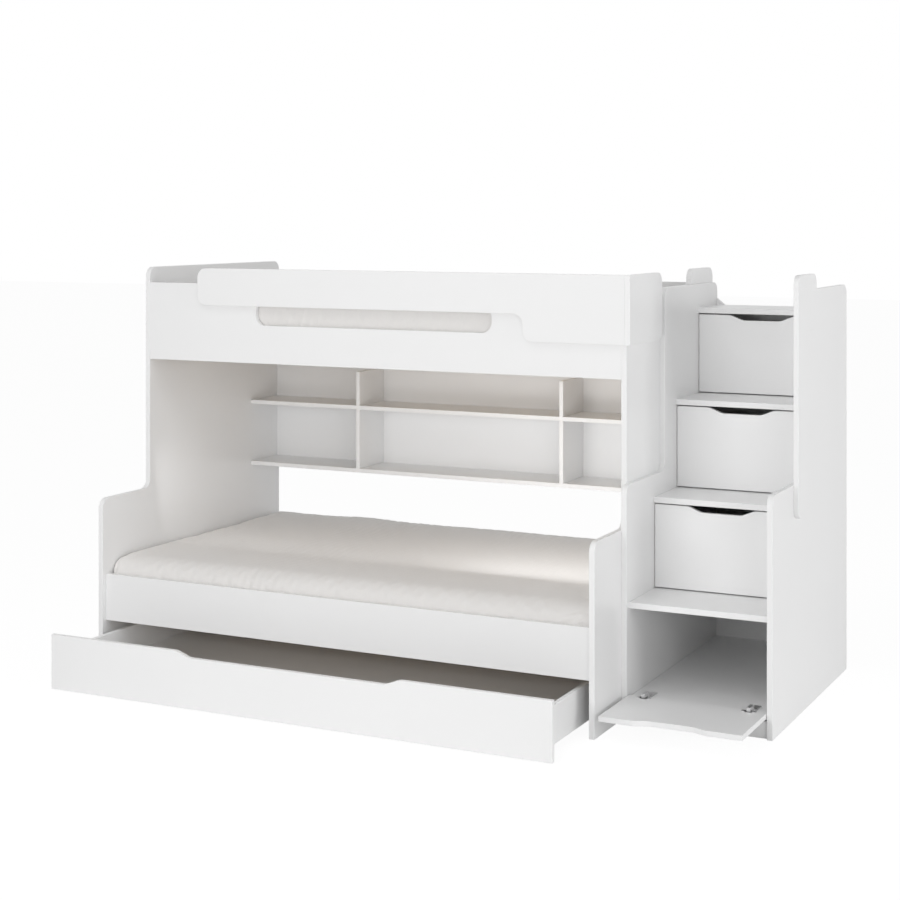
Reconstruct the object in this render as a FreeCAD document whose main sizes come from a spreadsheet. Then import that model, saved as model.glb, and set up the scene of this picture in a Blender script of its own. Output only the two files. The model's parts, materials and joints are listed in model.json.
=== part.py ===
import FreeCAD, Part
import os
import Sketcher

# A bunk bed of white lacquered board: a wide lower bed, a narrower upper bed, a wall shelf between
# them, a rolling drawer below and a stair of four storage boxes with drop-down doors at the right.
#
# Build coordinates: x = 0 at the inner face of the left end panel and grows towards the stair,
# y = 0 at the back and falls towards the front, z = 0 on the floor. The finished pieces are placed
# with the origin at the bottom centre of the whole bed, its drawer standing part way out.

SIZES = {
    # bed ends
    "bed_length": 2004,  # clear length between the end panels, for a mattress of 2000
    "board": 20,  # end panels, rails, guards and stair sides
    "lower_depth": 1280,  # back to the front edge of the low end parts
    "upper_depth": 976,  # back to the front edge of the tall end parts
    "end_rise": 61,  # tall end parts above the upper rails
    "low_end_rise": 291,  # low end parts above the lower rails
    "gate_rise": 1,  # right end above the upper rails where one steps over from the stair
    "post_depth": 269,  # back post that rises beside the gate
    "corner_radius": 38,  # rounded corners of all shaped panels
    "post_foot_radius": 20,
    "least_flat": 1,  # straight run left between two rounds
    "edge_radius": 1.5,  # softened edges of every board
    # rails
    "upper_rail_bottom": 1174,
    "upper_rail_height": 306,
    "lower_rail_bottom": 189,
    "lower_rail_height": 178,
    "rail_recess": 20,  # lower front rail behind the front of the end panels
    "slot_inset": 499,  # end panels to the opening in the upper front rail
    "slot_margin": 64,  # rail left above the opening
    "slot_height": 94.5,
    "slot_radius": 40,
    # guards
    "guard_inset": 241,  # left end panel to the front guard
    "guard_rise": 60.5,  # above the upper rails
    "guard_overlap": 84.5,  # shallow part of the front guard, down over the rail
    "guard_drop": 99.5,  # deep part below the shallow one
    "guard_deep_run": 389,  # deep part along the bed, from its right outer face
    "end_guard_depth": 337,
    # slatted bases and mattresses
    "ledger_depth": 24,
    "ledger_height": 28,
    "ledger_end_gap": 10,
    "lower_slat_rise": 71,  # top of the slats above the lower edge of their rails
    "upper_slat_rise": 96,
    "slat_width": 70,
    "slat_thickness": 18,
    "slat_margin": 32,
    "slat_gap": 3,
    "mattress_end_gap": 2,
    "mattress_thickness": 170,
    "mattress_gap": 3,
    "mattress_radius": 45,
    # wall shelf
    "shelf_board": 17,
    "shelf_depth": 233,
    "shelf_drop": 518,  # lower shelf's underside below the upper rails
    "shelf_rise": 267,  # from one shelf's underside to the next
    "divider_inset": 536,  # end panel to the middle of a divider
    "short_divider_rise": 160,  # short dividers' top above the upper shelf's underside
    # drawer
    "drawer_out": 308,  # how far the drawer stands open at rest
    "drawer_board": 18,
    "drawer_front_bottom": 4.5,
    "drawer_front_lap": 15.5,  # drawer front's top above the lower rails' lower edge
    "drawer_side_gap": 2,  # drawer front to the end panels
    "drawer_side_inset": 45,  # end panels to the drawer sides
    "drawer_side_bottom": 28,
    "drawer_head_gap": 33,  # drawer sides' top below the lower rails
    "drawer_back_gap": 112,  # behind the closed drawer
    "drawer_bottom_thickness": 12,
    "drawer_notch_top": 893,
    "drawer_notch_bottom": 788,
    "notch_depth": 20,
    "drawer_notch_radius": 60,
    # castors
    "wheel_radius": 20,
    "wheel_width": 17,
    "wheel_edge_radius": 3,
    "axle_radius": 3,
    "axle_length": 26,
    "running_clearance": 0.05,
    "castor_inset_x": 45,
    "castor_inset_y": 90,
    "castor_head_gap": 4,  # wheel top to the castor plate
    "castor_sheet": 2,
    "castor_plate_width": 50,
    "castor_plate_depth": 60,
    "castor_cheek_depth": 24,
    "castor_cheek_gap": 1.5,
    # stair
    "stair_width": 496,  # clear width between the stair sides
    "going_1": 255,
    "going_2": 246,
    "going_3": 260,
    "going_4": 246,
    "stair_floor_top": 79,
    "top_tread_drop": 87.8,  # top tread below the upper rails' top
    "tread_board": 21,
    "nosing_setback": 23,  # first nosing behind the front of the stair sides
    "stair_guard_gap": 31,  # tall part of the stair sides behind the end guard
    "stair_side_rise": 1,  # tall part of the stair sides above the gate
    "low_side_rise": 79.4,  # low part of the stair sides above the second tread
    "floor_setback": 6,  # floor panel behind the first nosing
    "plinth_lead": 8,  # plinth before the first nosing
    "plinth_board": 20,
    "stair_back_board": 17,
    "back_corner_width": 34,  # raised corner of the back panel
    "back_corner_height": 28,
    # handrail panel on the right stair side
    "handrail_board": 18,
    "handrail_reach": 142,  # handrail's front before the tall part of the stair sides
    "handrail_width": 125,
    "handrail_top_width": 248,
    "handrail_low_lap": 120,  # handrail down over the low part of the stair side
    "handrail_high_lap": 141,  # and its wide head down over the tall part
    # stair doors
    "door_board": 18,
    "door_recess": 8,
    "door_side_gap": 2,
    "door_bottom_gap": 4,
    "door_top_gap": 5,
    "door_notch_top": 245,
    "door_notch_bottom": 147,
    "door_notch_radius": 50,
    "flap_open": 90,  # degrees that the lowest door stands open at rest
    "upper_door_open": 0,
    # door hinges
    "hinge_inset": 60,
    "cup_radius": 17.5,
    "cup_wall": 1.5,
    "cup_depth": 13,
    "cup_height": 21,  # cup centre above the door's lower edge
    "fit_clearance": 0.1,  # fixed fittings in their bores
    "hinge_flange_width": 50,
    "hinge_flange_height": 16,
    "hinge_flange_sheet": 1.2,
    "hinge_pin_radius": 1.5,
    "hinge_pin_length": 13,
    "hinge_sheet": 2.5,
    "hinge_plate_width": 26,
    "hinge_plate_depth": 40,
    "hinge_arm_width": 9,
    "hinge_arm_radius": 3,
    "hinge_slot_clearance": 0.5,
    "hinge_foot_start": 16,  # pivot to the foot of the arm on the upper doors
    "hinge_foot_depth": 8,
    "hinge_plate_start": 12,
    "pivot_depth": 7,  # upper doors: pivot behind the outer face and above the lower edge
    "flap_pivot_depth": 4,  # lowest door: pivot behind the outer face
    "flap_pivot_drop": 9,  # and below the lower edge
    "gooseneck_width": 12,
    "gooseneck_reach": 28,
    "gooseneck_thickness": 7,
    "knuckle_radius": 4.5,
    "ear_gap": 1,
    "ear_radius": 4,
    "ear_margin": 2,  # ears behind the gooseneck
    "floor_notch_margin": 1,
    # cam fittings, dowels and screws
    "cam_radius": 7.5,
    "cam_depth": 12.5,
    "cam_distance": 24,
    "cam_bolt_radius": 3,
    "cam_bolt_grip": 11,
    "cam_notch_clearance": 0.4,
    "rail_cam_inset": 40,
    "board_cam_inset": 60,
    "dowel_radius": 4,
    "dowel_grip": 12,
    "dowel_inset": 30,
    "screw_radius": 2,
    "screw_head_radius": 4,
    "screw_head_height": 3,
    "screw_tip_gap": 5,  # wood left in front of a screw's tip
    "screw_inset": 35,
    "stair_tie_inset": 120,
    "stair_tie_low": 240,
    "stair_tie_high": 600,
}
COUNTS = {
    "slats": 14,
    "guard_screws": 5,
    "end_guard_screws": 3,
    "shelf_screws": 4,
    "back_dowels": 3,
}

doc = FreeCAD.newDocument("bunk_bed")
sheet = doc.addObject("Spreadsheet::Sheet", "Dims")
for row, (alias, number) in enumerate(SIZES.items(), start=1):
    sheet.set(f"A{row}", alias)
    sheet.set(f"B{row}", str(number))
    sheet.setAlias(f"B{row}", alias)
doc.recompute()


class Size:
    """A length that carries its number and its formula in the sheet's names."""

    def __init__(self, number, formula):
        self.number = number
        self.formula = formula

    @staticmethod
    def of(value):
        return value if isinstance(value, Size) else Size(float(value), repr(float(value)))

    def __add__(self, other):
        other = Size.of(other)
        return Size(self.number + other.number, f"({self.formula} + {other.formula})")

    def __sub__(self, other):
        other = Size.of(other)
        return Size(self.number - other.number, f"({self.formula} - {other.formula})")

    def __mul__(self, other):
        other = Size.of(other)
        return Size(self.number * other.number, f"({self.formula} * {other.formula})")

    def __truediv__(self, other):
        other = Size.of(other)
        return Size(self.number / other.number, f"({self.formula} / {other.formula})")

    def __neg__(self):
        return Size.of(0) - self

    def __radd__(self, other):
        return Size.of(other) + self

    def __rsub__(self, other):
        return Size.of(other) - self

    def __rmul__(self, other):
        return Size.of(other) * self

    def at_most(self, other):
        other = Size.of(other)
        return Size(min(self.number, other.number), f"min({self.formula}; {other.formula})")


class Names:
    """The sheet's sizes as attributes."""

    def __init__(self, sizes):
        for alias, number in sizes.items():
            setattr(self, alias, Size(float(number), f"Dims.{alias}"))


d = Names(SIZES)

# Planes that several pieces share.
LEFT_OUTER = -d.board
RIGHT_OUTER = d.bed_length + d.board
STAIR_LEFT = RIGHT_OUTER + d.board
STAIR_RIGHT = STAIR_LEFT + d.stair_width
STAIR_OUTER = STAIR_RIGHT + d.board
MIDDLE_X = (STAIR_OUTER + d.handrail_board + LEFT_OUTER) / 2
MIDDLE_Y = -(d.lower_depth + d.drawer_out) / 2

UPPER_RAIL_TOP = d.upper_rail_bottom + d.upper_rail_height
LOWER_RAIL_TOP = d.lower_rail_bottom + d.lower_rail_height
END_TOP = UPPER_RAIL_TOP + d.end_rise
GATE_TOP = UPPER_RAIL_TOP + d.gate_rise
LOW_END_TOP = LOWER_RAIL_TOP + d.low_end_rise
SLOT_TOP = UPPER_RAIL_TOP - d.slot_margin
SLOT_BOTTOM = SLOT_TOP - d.slot_height
GUARD_TOP = UPPER_RAIL_TOP + d.guard_rise
GUARD_SHALLOW_BOTTOM = UPPER_RAIL_TOP - d.guard_overlap
GUARD_DEEP_BOTTOM = GUARD_SHALLOW_BOTTOM - d.guard_drop
GUARD_STEP = RIGHT_OUTER - d.guard_deep_run
SHELF_LOWER_BOTTOM = d.upper_rail_bottom - d.shelf_drop
SHELF_UPPER_BOTTOM = SHELF_LOWER_BOTTOM + d.shelf_rise
DIVIDER_TOP = SHELF_UPPER_BOTTOM + d.short_divider_rise

DRAWER_FRONT_HEIGHT = d.lower_rail_bottom + d.drawer_front_lap - d.drawer_front_bottom
DRAWER_SIDE_TOP = d.lower_rail_bottom - d.drawer_head_gap
DRAWER_BOX_DEPTH = d.lower_depth - d.drawer_board - d.drawer_back_gap

RISE = (UPPER_RAIL_TOP - d.top_tread_drop - d.stair_floor_top) / 4
FLOOR_SURFACES = [d.stair_floor_top + RISE * level for level in range(5)]
# Distances of the nosings from the back, the lowest tread first.
NOSINGS = [d.going_4]
for going in (d.going_3, d.going_2, d.going_1):
    NOSINGS.insert(0, NOSINGS[0] + going)
STAIR_FRONT = NOSINGS[0]
STAIR_DEPTH = STAIR_FRONT + d.nosing_setback
STAIR_TALL_DEPTH = d.upper_depth + d.board - d.end_guard_depth - d.stair_guard_gap
STAIR_TOP = GATE_TOP + d.stair_side_rise
STAIR_LOW_TOP = FLOOR_SURFACES[2] + d.low_side_rise
PLINTH_FRONT = STAIR_FRONT + d.plinth_lead
HANDRAIL_FRONT = STAIR_TALL_DEPTH + d.handrail_reach
HANDRAIL_BOTTOM = STAIR_LOW_TOP - d.handrail_low_lap
HANDRAIL_STEP = STAIR_TOP - d.handrail_high_lap
DOOR_HEIGHT = RISE - d.tread_board - d.door_bottom_gap - d.door_top_gap
DOOR_WIDTH = d.stair_width - d.door_side_gap * 2

TURN_TO = {
    "x": FreeCAD.Rotation(FreeCAD.Vector(0, 1, 0), 90),
    "y": FreeCAD.Rotation(FreeCAD.Vector(1, 0, 0), -90),
    "z": FreeCAD.Rotation(),
}
nodes = []
pieces = {}


def bind(item, **formulas):
    """Tie an object's properties to the sheet."""
    for name, value in formulas.items():
        item.setExpression(name, Size.of(value).formula)


def put(item, point, prefix="Placement"):
    """Tie an object's position to the sheet."""
    for axis, value in zip("xyz", point):
        item.setExpression(f"{prefix}.Base.{axis}", Size.of(value).formula)


def in_frame(point):
    """Move a point from build coordinates to the finished bed's own frame."""
    x, y, z = point
    return (x - MIDDLE_X, y - MIDDLE_Y, Size.of(z))


class Piece:
    """One board, panel or wheel, built about a local origin that stands at a build point."""

    def __init__(self, label, origin, turn=None):
        self.origin = [Size.of(value) for value in origin]
        self.body = doc.addObject("PartDesign::Body", label)
        self.body.Label = label
        put(self.body, in_frame(self.origin))
        if turn is not None:
            self.body.Placement.Rotation = FreeCAD.Rotation(FreeCAD.Vector(1, 0, 0), 1)
            self.body.setExpression("Placement.Rotation.Angle", turn.formula)
        nodes.append(self.body)
        pieces[label] = self

    def local(self, point):
        return [Size.of(value) - start for value, start in zip(point, self.origin)]

    def block(self, size, at=(0, 0, 0), kind="AdditiveBox"):
        box = self.body.newObject(f"PartDesign::{kind}", f"{self.body.Label}_block")
        bind(box, Length=size[0], Width=size[1], Height=size[2])
        put(box, at)
        return box

    def bore(self, axis, at, length, radius, kind="SubtractiveCylinder"):
        hole = self.body.newObject(f"PartDesign::{kind}", f"{self.body.Label}_bore")
        bind(hole, Radius=radius, Height=length)
        hole.Placement.Rotation = TURN_TO[axis]
        put(hole, at)
        return hole

    def outline(self, plane, corners, thickness, setback=0):
        """Pad a closed outline drawn on the named plane, towards +x or +y, from a setback."""
        role = {"YZ": "YZ_Plane", "XZ": "XZ_Plane"}[plane]
        origin_plane = [f for f in self.body.Origin.OriginFeatures if f.Role == role][0]
        sketch = self.body.newObject("Sketcher::SketchObject", f"{self.body.Label}_outline")
        sketch.AttachmentSupport = [(origin_plane, "")]
        sketch.MapMode = "FlatFace"
        sketch.setExpression("AttachmentOffset.Base.z", Size.of(setback).formula)
        corners = [(Size.of(u), Size.of(v)) for u, v in corners]
        draw_closed(sketch, corners)
        pad = self.body.newObject("PartDesign::Pad", f"{self.body.Label}_pad")
        pad.Profile = sketch
        pad.Reversed = plane == "XZ"
        bind(pad, Length=thickness)
        sketch.Visibility = False
        doc.recompute()
        return pad

    def round_corners(self, plane, corners, radius):
        """Round the upright edges of the last pad that stand at the given outline corners."""
        base = self.body.Tip
        along = {"YZ": 0, "XZ": 1}[plane]
        across = {"YZ": (1, 2), "XZ": (0, 2)}[plane]
        wanted = [tuple(Size.of(value).number for value in corner) for corner in corners]
        names = []
        for index, edge in enumerate(base.Shape.Edges, start=1):
            first, last = (vertex.Point for vertex in edge.Vertexes)
            runs_through = abs(first[along] - last[along]) > edge.Length * 0.99
            place = (first[across[0]], first[across[1]])
            if runs_through and any(close(place, corner) for corner in wanted):
                names.append(f"Edge{index}")
        if len(names) != len(wanted):
            raise RuntimeError(f"{self.body.Label}: {len(names)} of {len(wanted)} corners found")
        rounding = self.body.newObject("PartDesign::Fillet", f"{self.body.Label}_corners")
        rounding.Base = (base, names)
        bind(rounding, Radius=radius)
        doc.recompute()
        return rounding

    def soften(self, radius=d.edge_radius):
        """Break every edge with a small round."""
        base = self.body.Tip
        rounding = self.body.newObject("PartDesign::Fillet", f"{self.body.Label}_edges")
        rounding.Base = (base, [""])
        rounding.UseAllEdges = True
        bind(rounding, Radius=radius)
        doc.recompute()
        return rounding


def close(place, corner):
    return abs(place[0] - corner[0]) < 0.01 and abs(place[1] - corner[1]) < 0.01


def draw_closed(sketch, corners):
    """Draw a closed polygon whose every corner is tied to the sheet."""
    count = len(corners)
    for index, (u, v) in enumerate(corners):
        next_u, next_v = corners[(index + 1) % count]
        start = FreeCAD.Vector(u.number, v.number, 0)
        end = FreeCAD.Vector(next_u.number, next_v.number, 0)
        sketch.addGeometry(Part.LineSegment(start, end), False)
    for index in range(count):
        joined = Sketcher.Constraint("Coincident", index, 2, (index + 1) % count, 1)
        sketch.addConstraint(joined)
    for index, corner in enumerate(corners):
        for value, kind, axis_line in zip(corner, ("DistanceX", "DistanceY"), (-2, -1)):
            if abs(value.number) < 1e-9:
                sketch.addConstraint(Sketcher.Constraint("PointOnObject", index, 1, axis_line))
                continue
            tied = sketch.addConstraint(Sketcher.Constraint(kind, -1, 1, index, 1, value.number))
            sketch.setExpression(f"Constraints[{tied}]", value.formula)


def plain_board(label, low, high):
    """A rectangular board between two build points, with softened edges."""
    piece = Piece(label, low)
    piece.block([Size.of(top) - Size.of(bottom) for bottom, top in zip(low, high)])
    doc.recompute()
    piece.soften()
    return piece


# Small hardware is made of cylinders and blocks, and a set of like pieces is one group.


def rod(axis, at, length, radius):
    item = doc.addObject("Part::Cylinder", "rod")
    bind(item, Radius=radius, Height=length)
    item.Placement.Rotation = TURN_TO[axis]
    put(item, at)
    return item


def slab(size, at):
    item = doc.addObject("Part::Box", "slab")
    bind(item, Length=size[0], Width=size[1], Height=size[2])
    put(item, at)
    return item


def joined(*items):
    item = doc.addObject("Part::MultiFuse", "joined")
    item.Shapes = list(items)
    item.Refine = True
    return item


def without(base, *tools):
    item = doc.addObject("Part::Cut", "without")
    item.Base = base
    item.Tool = tools[0] if len(tools) == 1 else joined(*tools)
    return item


def group(label, items):
    item = doc.addObject("Part::Compound", label)
    item.Label = label
    item.Links = items
    nodes.append(item)
    return item


def shifted(point, *offset):
    return [Size.of(value) + step for value, step in zip(point, offset)]


# Bed ends


def make_left_end():
    low_run = d.lower_depth - d.upper_depth
    corners = [
        (0, 0),
        (d.lower_depth, 0),
        (d.lower_depth, END_TOP),
        (low_run, END_TOP),
        (low_run, LOW_END_TOP),
        (0, LOW_END_TOP),
    ]
    end = Piece("left_end_panel", (LEFT_OUTER, -d.lower_depth, 0))
    end.outline("YZ", corners, d.board)
    end.round_corners("YZ", corners[2:], d.corner_radius)
    end.soften()
    return end


def make_right_end():
    low_run = d.lower_depth - d.upper_depth
    post_front = d.lower_depth - d.post_depth
    corners = [
        (0, 0),
        (d.lower_depth, 0),
        (d.lower_depth, END_TOP),
        (post_front, END_TOP),
        (post_front, GATE_TOP),
        (low_run, GATE_TOP),
        (low_run, LOW_END_TOP),
        (0, LOW_END_TOP),
    ]
    end = Piece("right_end_panel", (d.bed_length, -d.lower_depth, 0))
    end.outline("YZ", corners, d.board)
    end.round_corners("YZ", corners[2:4] + corners[6:], d.corner_radius)
    room = END_TOP - GATE_TOP - d.corner_radius - d.least_flat
    end.round_corners("YZ", [corners[4]], d.post_foot_radius.at_most(room))
    end.soften()
    return end


# Rails, guards, slats and mattresses


def make_rails():
    """The four rails that join the bed ends."""
    lower_front = -d.lower_depth + d.rail_recess
    rails = {}
    rails["upper_front"] = Piece("upper_front_rail", (0, -d.upper_depth, d.upper_rail_bottom))
    make_slotted_rail(rails["upper_front"])
    rails["upper_back"] = plain_board(
        "upper_back_rail",
        (0, -d.board, d.upper_rail_bottom),
        (d.bed_length, 0, UPPER_RAIL_TOP),
    )
    rails["lower_front"] = plain_board(
        "lower_front_rail",
        (0, lower_front, d.lower_rail_bottom),
        (d.bed_length, lower_front + d.board, LOWER_RAIL_TOP),
    )
    rails["lower_back"] = plain_board(
        "lower_back_rail",
        (0, -d.board, d.lower_rail_bottom),
        (d.bed_length, 0, LOWER_RAIL_TOP),
    )
    return rails


def make_slotted_rail(rail):
    height = d.upper_rail_height
    corners = [(0, 0), (d.bed_length, 0), (d.bed_length, height), (0, height)]
    rail.outline("XZ", corners, d.board)
    left = d.slot_inset
    right = d.bed_length - d.slot_inset
    low = SLOT_BOTTOM - d.upper_rail_bottom
    high = SLOT_TOP - d.upper_rail_bottom
    opening = [(left, low), (right, low), (right, high), (left, high)]
    rail.block((right - left, d.board, d.slot_height), (left, 0, low), kind="SubtractiveBox")
    doc.recompute()
    rail.round_corners("XZ", opening, d.slot_radius)
    rail.soften()


def make_guards():
    """The front guard on the rail's outer face and the end guard that meets it at the corner."""
    length = RIGHT_OUTER - d.guard_inset
    step = GUARD_STEP - d.guard_inset
    top = GUARD_TOP - GUARD_DEEP_BOTTOM
    corners = [
        (0, d.guard_drop),
        (step, d.guard_drop),
        (step, 0),
        (length, 0),
        (length, top),
        (0, top),
    ]
    front_place = (d.guard_inset, -d.upper_depth - d.board, GUARD_DEEP_BOTTOM)
    front = Piece("guard_panel", front_place)
    front.outline("XZ", corners, d.board)
    front.round_corners("XZ", corners[:3] + corners[5:], d.corner_radius)
    front.soften()
    end_corners = [(0, 0), (d.end_guard_depth, 0), (d.end_guard_depth, top), (0, top)]
    end_place = (RIGHT_OUTER, -d.upper_depth - d.board, GUARD_DEEP_BOTTOM)
    end = Piece("end_guard_panel", end_place)
    end.outline("YZ", end_corners, d.board)
    end.round_corners("YZ", end_corners[1:3], d.corner_radius)
    end.soften()
    return front, end


def make_base(level, front_inner, slat_top):
    """Ledgers on the inner faces of two rails, and the slats that lie on them."""
    slat_bottom = slat_top - d.slat_thickness
    ledger_bottom = slat_bottom - d.ledger_height
    length = d.bed_length - d.ledger_end_gap * 2
    size = (length, d.ledger_depth, d.ledger_height)
    rows = (front_inner, -d.board - d.ledger_depth)
    ledgers = [slab(size, in_frame((d.ledger_end_gap, row, ledger_bottom))) for row in rows]
    group(f"{level}_slat_ledgers", ledgers)
    clear = -d.board - front_inner
    slat_size = (d.slat_width, clear - d.slat_gap * 2, d.slat_thickness)
    run = d.bed_length - d.slat_margin * 2 - d.slat_width
    slats = []
    for index in range(COUNTS["slats"]):
        x = d.slat_margin + run * index / (COUNTS["slats"] - 1)
        slats.append(slab(slat_size, in_frame((x, front_inner + d.slat_gap, slat_bottom))))
    group(f"{level}_slats", slats)


def make_mattress(level, front_inner, slat_top):
    length = d.bed_length - d.mattress_end_gap * 2
    width = -d.board - front_inner - d.mattress_gap * 2
    corner = (d.mattress_end_gap, front_inner + d.mattress_gap, slat_top)
    piece = Piece(f"{level}_mattress", corner)
    piece.block((length, width, d.mattress_thickness))
    doc.recompute()
    piece.soften(d.mattress_radius)


# Wall shelf


def make_shelf():
    """Two long shelves, four dividers and the panel behind them."""
    back = -d.shelf_board
    front = -d.shelf_depth
    lower_top = SHELF_LOWER_BOTTOM + d.shelf_board
    upper_top = SHELF_UPPER_BOTTOM + d.shelf_board
    shelves = {
        "lower": plain_board(
            "shelf_lower", (0, front, SHELF_LOWER_BOTTOM), (d.bed_length, back, lower_top)
        ),
        "upper": plain_board(
            "shelf_upper", (0, front, SHELF_UPPER_BOTTOM), (d.bed_length, back, upper_top)
        ),
    }
    middles = {"left": d.divider_inset, "right": d.bed_length - d.divider_inset}
    spans = {
        "lower": (lower_top, SHELF_UPPER_BOTTOM),
        "upper": (upper_top, DIVIDER_TOP),
    }
    for side, middle in middles.items():
        for level, (bottom, top) in spans.items():
            left = middle - d.shelf_board / 2
            plain_board(
                f"shelf_divider_{level}_{side}",
                (left, front, bottom),
                (left + d.shelf_board, back, top),
            )
    plain_board(
        "shelf_back_panel",
        (0, back, SHELF_LOWER_BOTTOM),
        (d.bed_length, 0, d.upper_rail_bottom),
    )
    return shelves


# Drawer


def notched_top(width, height, top_run, bottom_run):
    """Outline of a front whose top edge dips for the fingers, and the dip's four corners."""
    middle = width / 2
    dip = [
        (middle + top_run / 2, height),
        (middle + bottom_run / 2, height - d.notch_depth),
        (middle - bottom_run / 2, height - d.notch_depth),
        (middle - top_run / 2, height),
    ]
    return [(0, 0), (width, 0), (width, height), *dip, (0, height)], dip


def make_drawer():
    """A box on four castors with a front that covers the whole gap under the lower bed."""
    front_face = -d.lower_depth - d.drawer_out
    inside = front_face + d.drawer_board
    back = inside + DRAWER_BOX_DEPTH
    width = d.bed_length - d.drawer_side_gap * 2
    front = Piece("drawer_front", (d.drawer_side_gap, front_face, d.drawer_front_bottom))
    corners, dip = notched_top(
        width, DRAWER_FRONT_HEIGHT, d.drawer_notch_top, d.drawer_notch_bottom
    )
    front.outline("XZ", corners, d.drawer_board)
    front.round_corners("XZ", dip, d.drawer_notch_radius)
    front.soften()
    left = d.drawer_side_inset + d.drawer_board
    right = d.bed_length - left
    side_places = {"left": d.drawer_side_inset, "right": right}
    for side, x in side_places.items():
        plain_board(
            f"drawer_side_{side}",
            (x, inside, d.drawer_side_bottom),
            (x + d.drawer_board, back, DRAWER_SIDE_TOP),
        )
    plain_board(
        "drawer_back",
        (left, back - d.drawer_board, d.drawer_side_bottom),
        (right, back, DRAWER_SIDE_TOP),
    )
    plate_top = d.wheel_radius * 2 + d.castor_head_gap + d.castor_sheet
    plain_board(
        "drawer_bottom",
        (left, inside, plate_top),
        (right, back - d.drawer_board, plate_top + d.drawer_bottom_thickness),
    )
    make_castors(left, right, inside, back)


def make_castors(left, right, inside, back):
    """Four fixed castors: a folded bracket, an axle and a wheel each."""
    columns = {"left": left + d.castor_inset_x, "right": right - d.castor_inset_x}
    rows = {"front": inside + d.castor_inset_y, "back": back - d.castor_inset_y}
    brackets = []
    axles = []
    bore = d.axle_radius + d.running_clearance
    for row, y in rows.items():
        for column, x in columns.items():
            centre = (x, y, d.wheel_radius)
            brackets.append(castor_bracket(in_frame(centre), bore))
            start = shifted(in_frame(centre), -d.axle_length / 2, 0, 0)
            axles.append(rod("x", start, d.axle_length, d.axle_radius))
            wheel = Piece(f"castor_wheel_{row}_{column}", centre)
            start = (-d.wheel_width / 2, 0, 0)
            wheel.bore("x", start, d.wheel_width, d.wheel_radius, kind="AdditiveCylinder")
            doc.recompute()
            wheel.soften(d.wheel_edge_radius)
            wheel.bore("x", start, d.wheel_width, bore)
    group("castor_brackets", brackets)
    group("castor_axles", axles)


def castor_bracket(centre, bore):
    """A plate with two cheeks that hold the axle."""
    plate_bottom = d.wheel_radius + d.castor_head_gap
    plate_size = (d.castor_plate_width, d.castor_plate_depth, d.castor_sheet)
    plate_corner = (-d.castor_plate_width / 2, -d.castor_plate_depth / 2, plate_bottom)
    pieces = [slab(plate_size, shifted(centre, *plate_corner))]
    inner = d.wheel_width / 2 + d.castor_cheek_gap
    half = d.castor_cheek_depth / 2
    for x in (inner, -inner - d.castor_sheet):
        cheek_size = (d.castor_sheet, d.castor_cheek_depth, plate_bottom)
        pieces.append(slab(cheek_size, shifted(centre, x, -half, 0)))
        pieces.append(rod("x", shifted(centre, x, 0, 0), d.castor_sheet, half))
    hole_start = shifted(centre, -inner - d.castor_sheet, 0, 0)
    hole = rod("x", hole_start, (inner + d.castor_sheet) * 2, bore)
    return without(joined(*pieces), hole)


# Stair


def make_stair_sides():
    tall_start = STAIR_DEPTH - STAIR_TALL_DEPTH
    corners = [
        (0, 0),
        (STAIR_DEPTH, 0),
        (STAIR_DEPTH, STAIR_TOP),
        (tall_start, STAIR_TOP),
        (tall_start, STAIR_LOW_TOP),
        (0, STAIR_LOW_TOP),
    ]
    sides = {}
    for side, x in {"left": RIGHT_OUTER, "right": STAIR_RIGHT}.items():
        panel = Piece(f"stair_side_{side}", (x, -STAIR_DEPTH, 0))
        panel.outline("YZ", corners, d.board)
        panel.round_corners("YZ", corners[2:], d.corner_radius)
        panel.soften()
        sides[side] = panel
    return sides


def make_handrail():
    step = HANDRAIL_STEP - HANDRAIL_BOTTOM
    top = GUARD_TOP - HANDRAIL_BOTTOM
    corners = [
        (0, 0),
        (d.handrail_width, 0),
        (d.handrail_width, step),
        (d.handrail_top_width, step),
        (d.handrail_top_width, top),
        (0, top),
    ]
    panel = Piece("handrail_panel", (STAIR_OUTER, -HANDRAIL_FRONT, HANDRAIL_BOTTOM))
    panel.outline("YZ", corners, d.handrail_board)
    panel.round_corners("YZ", corners, d.corner_radius)
    panel.soften()
    return panel


def make_stair_boards():
    """The floor of the lowest box, the four treads, the plinth and the back panel."""
    back = -d.stair_back_board
    fronts = [STAIR_FRONT - d.floor_setback, *NOSINGS]
    labels = ["stair_floor", "tread_1", "tread_2", "tread_3", "tread_4"]
    boards = []
    for label, front, top in zip(labels, fronts, FLOOR_SURFACES):
        low = (STAIR_LEFT, -front, top - d.tread_board)
        boards.append((plain_board(label, low, (STAIR_RIGHT, back, top)), front))
    plain_board(
        "stair_plinth",
        (STAIR_LEFT, -PLINTH_FRONT, 0),
        (STAIR_RIGHT, -PLINTH_FRONT + d.plinth_board, d.stair_floor_top - d.tread_board),
    )
    panel = Piece("stair_back_panel", (STAIR_LEFT, back, 0))
    top = FLOOR_SURFACES[4]
    corners = [
        (0, 0),
        (d.stair_width, 0),
        (d.stair_width, top),
        (d.back_corner_width, top),
        (0, top + d.back_corner_height),
    ]
    panel.outline("XZ", corners, d.stair_back_board)
    panel.soften()
    return boards


# Stair doors: each is built about its hinge axis, closed, and then turned to its resting angle.


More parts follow.
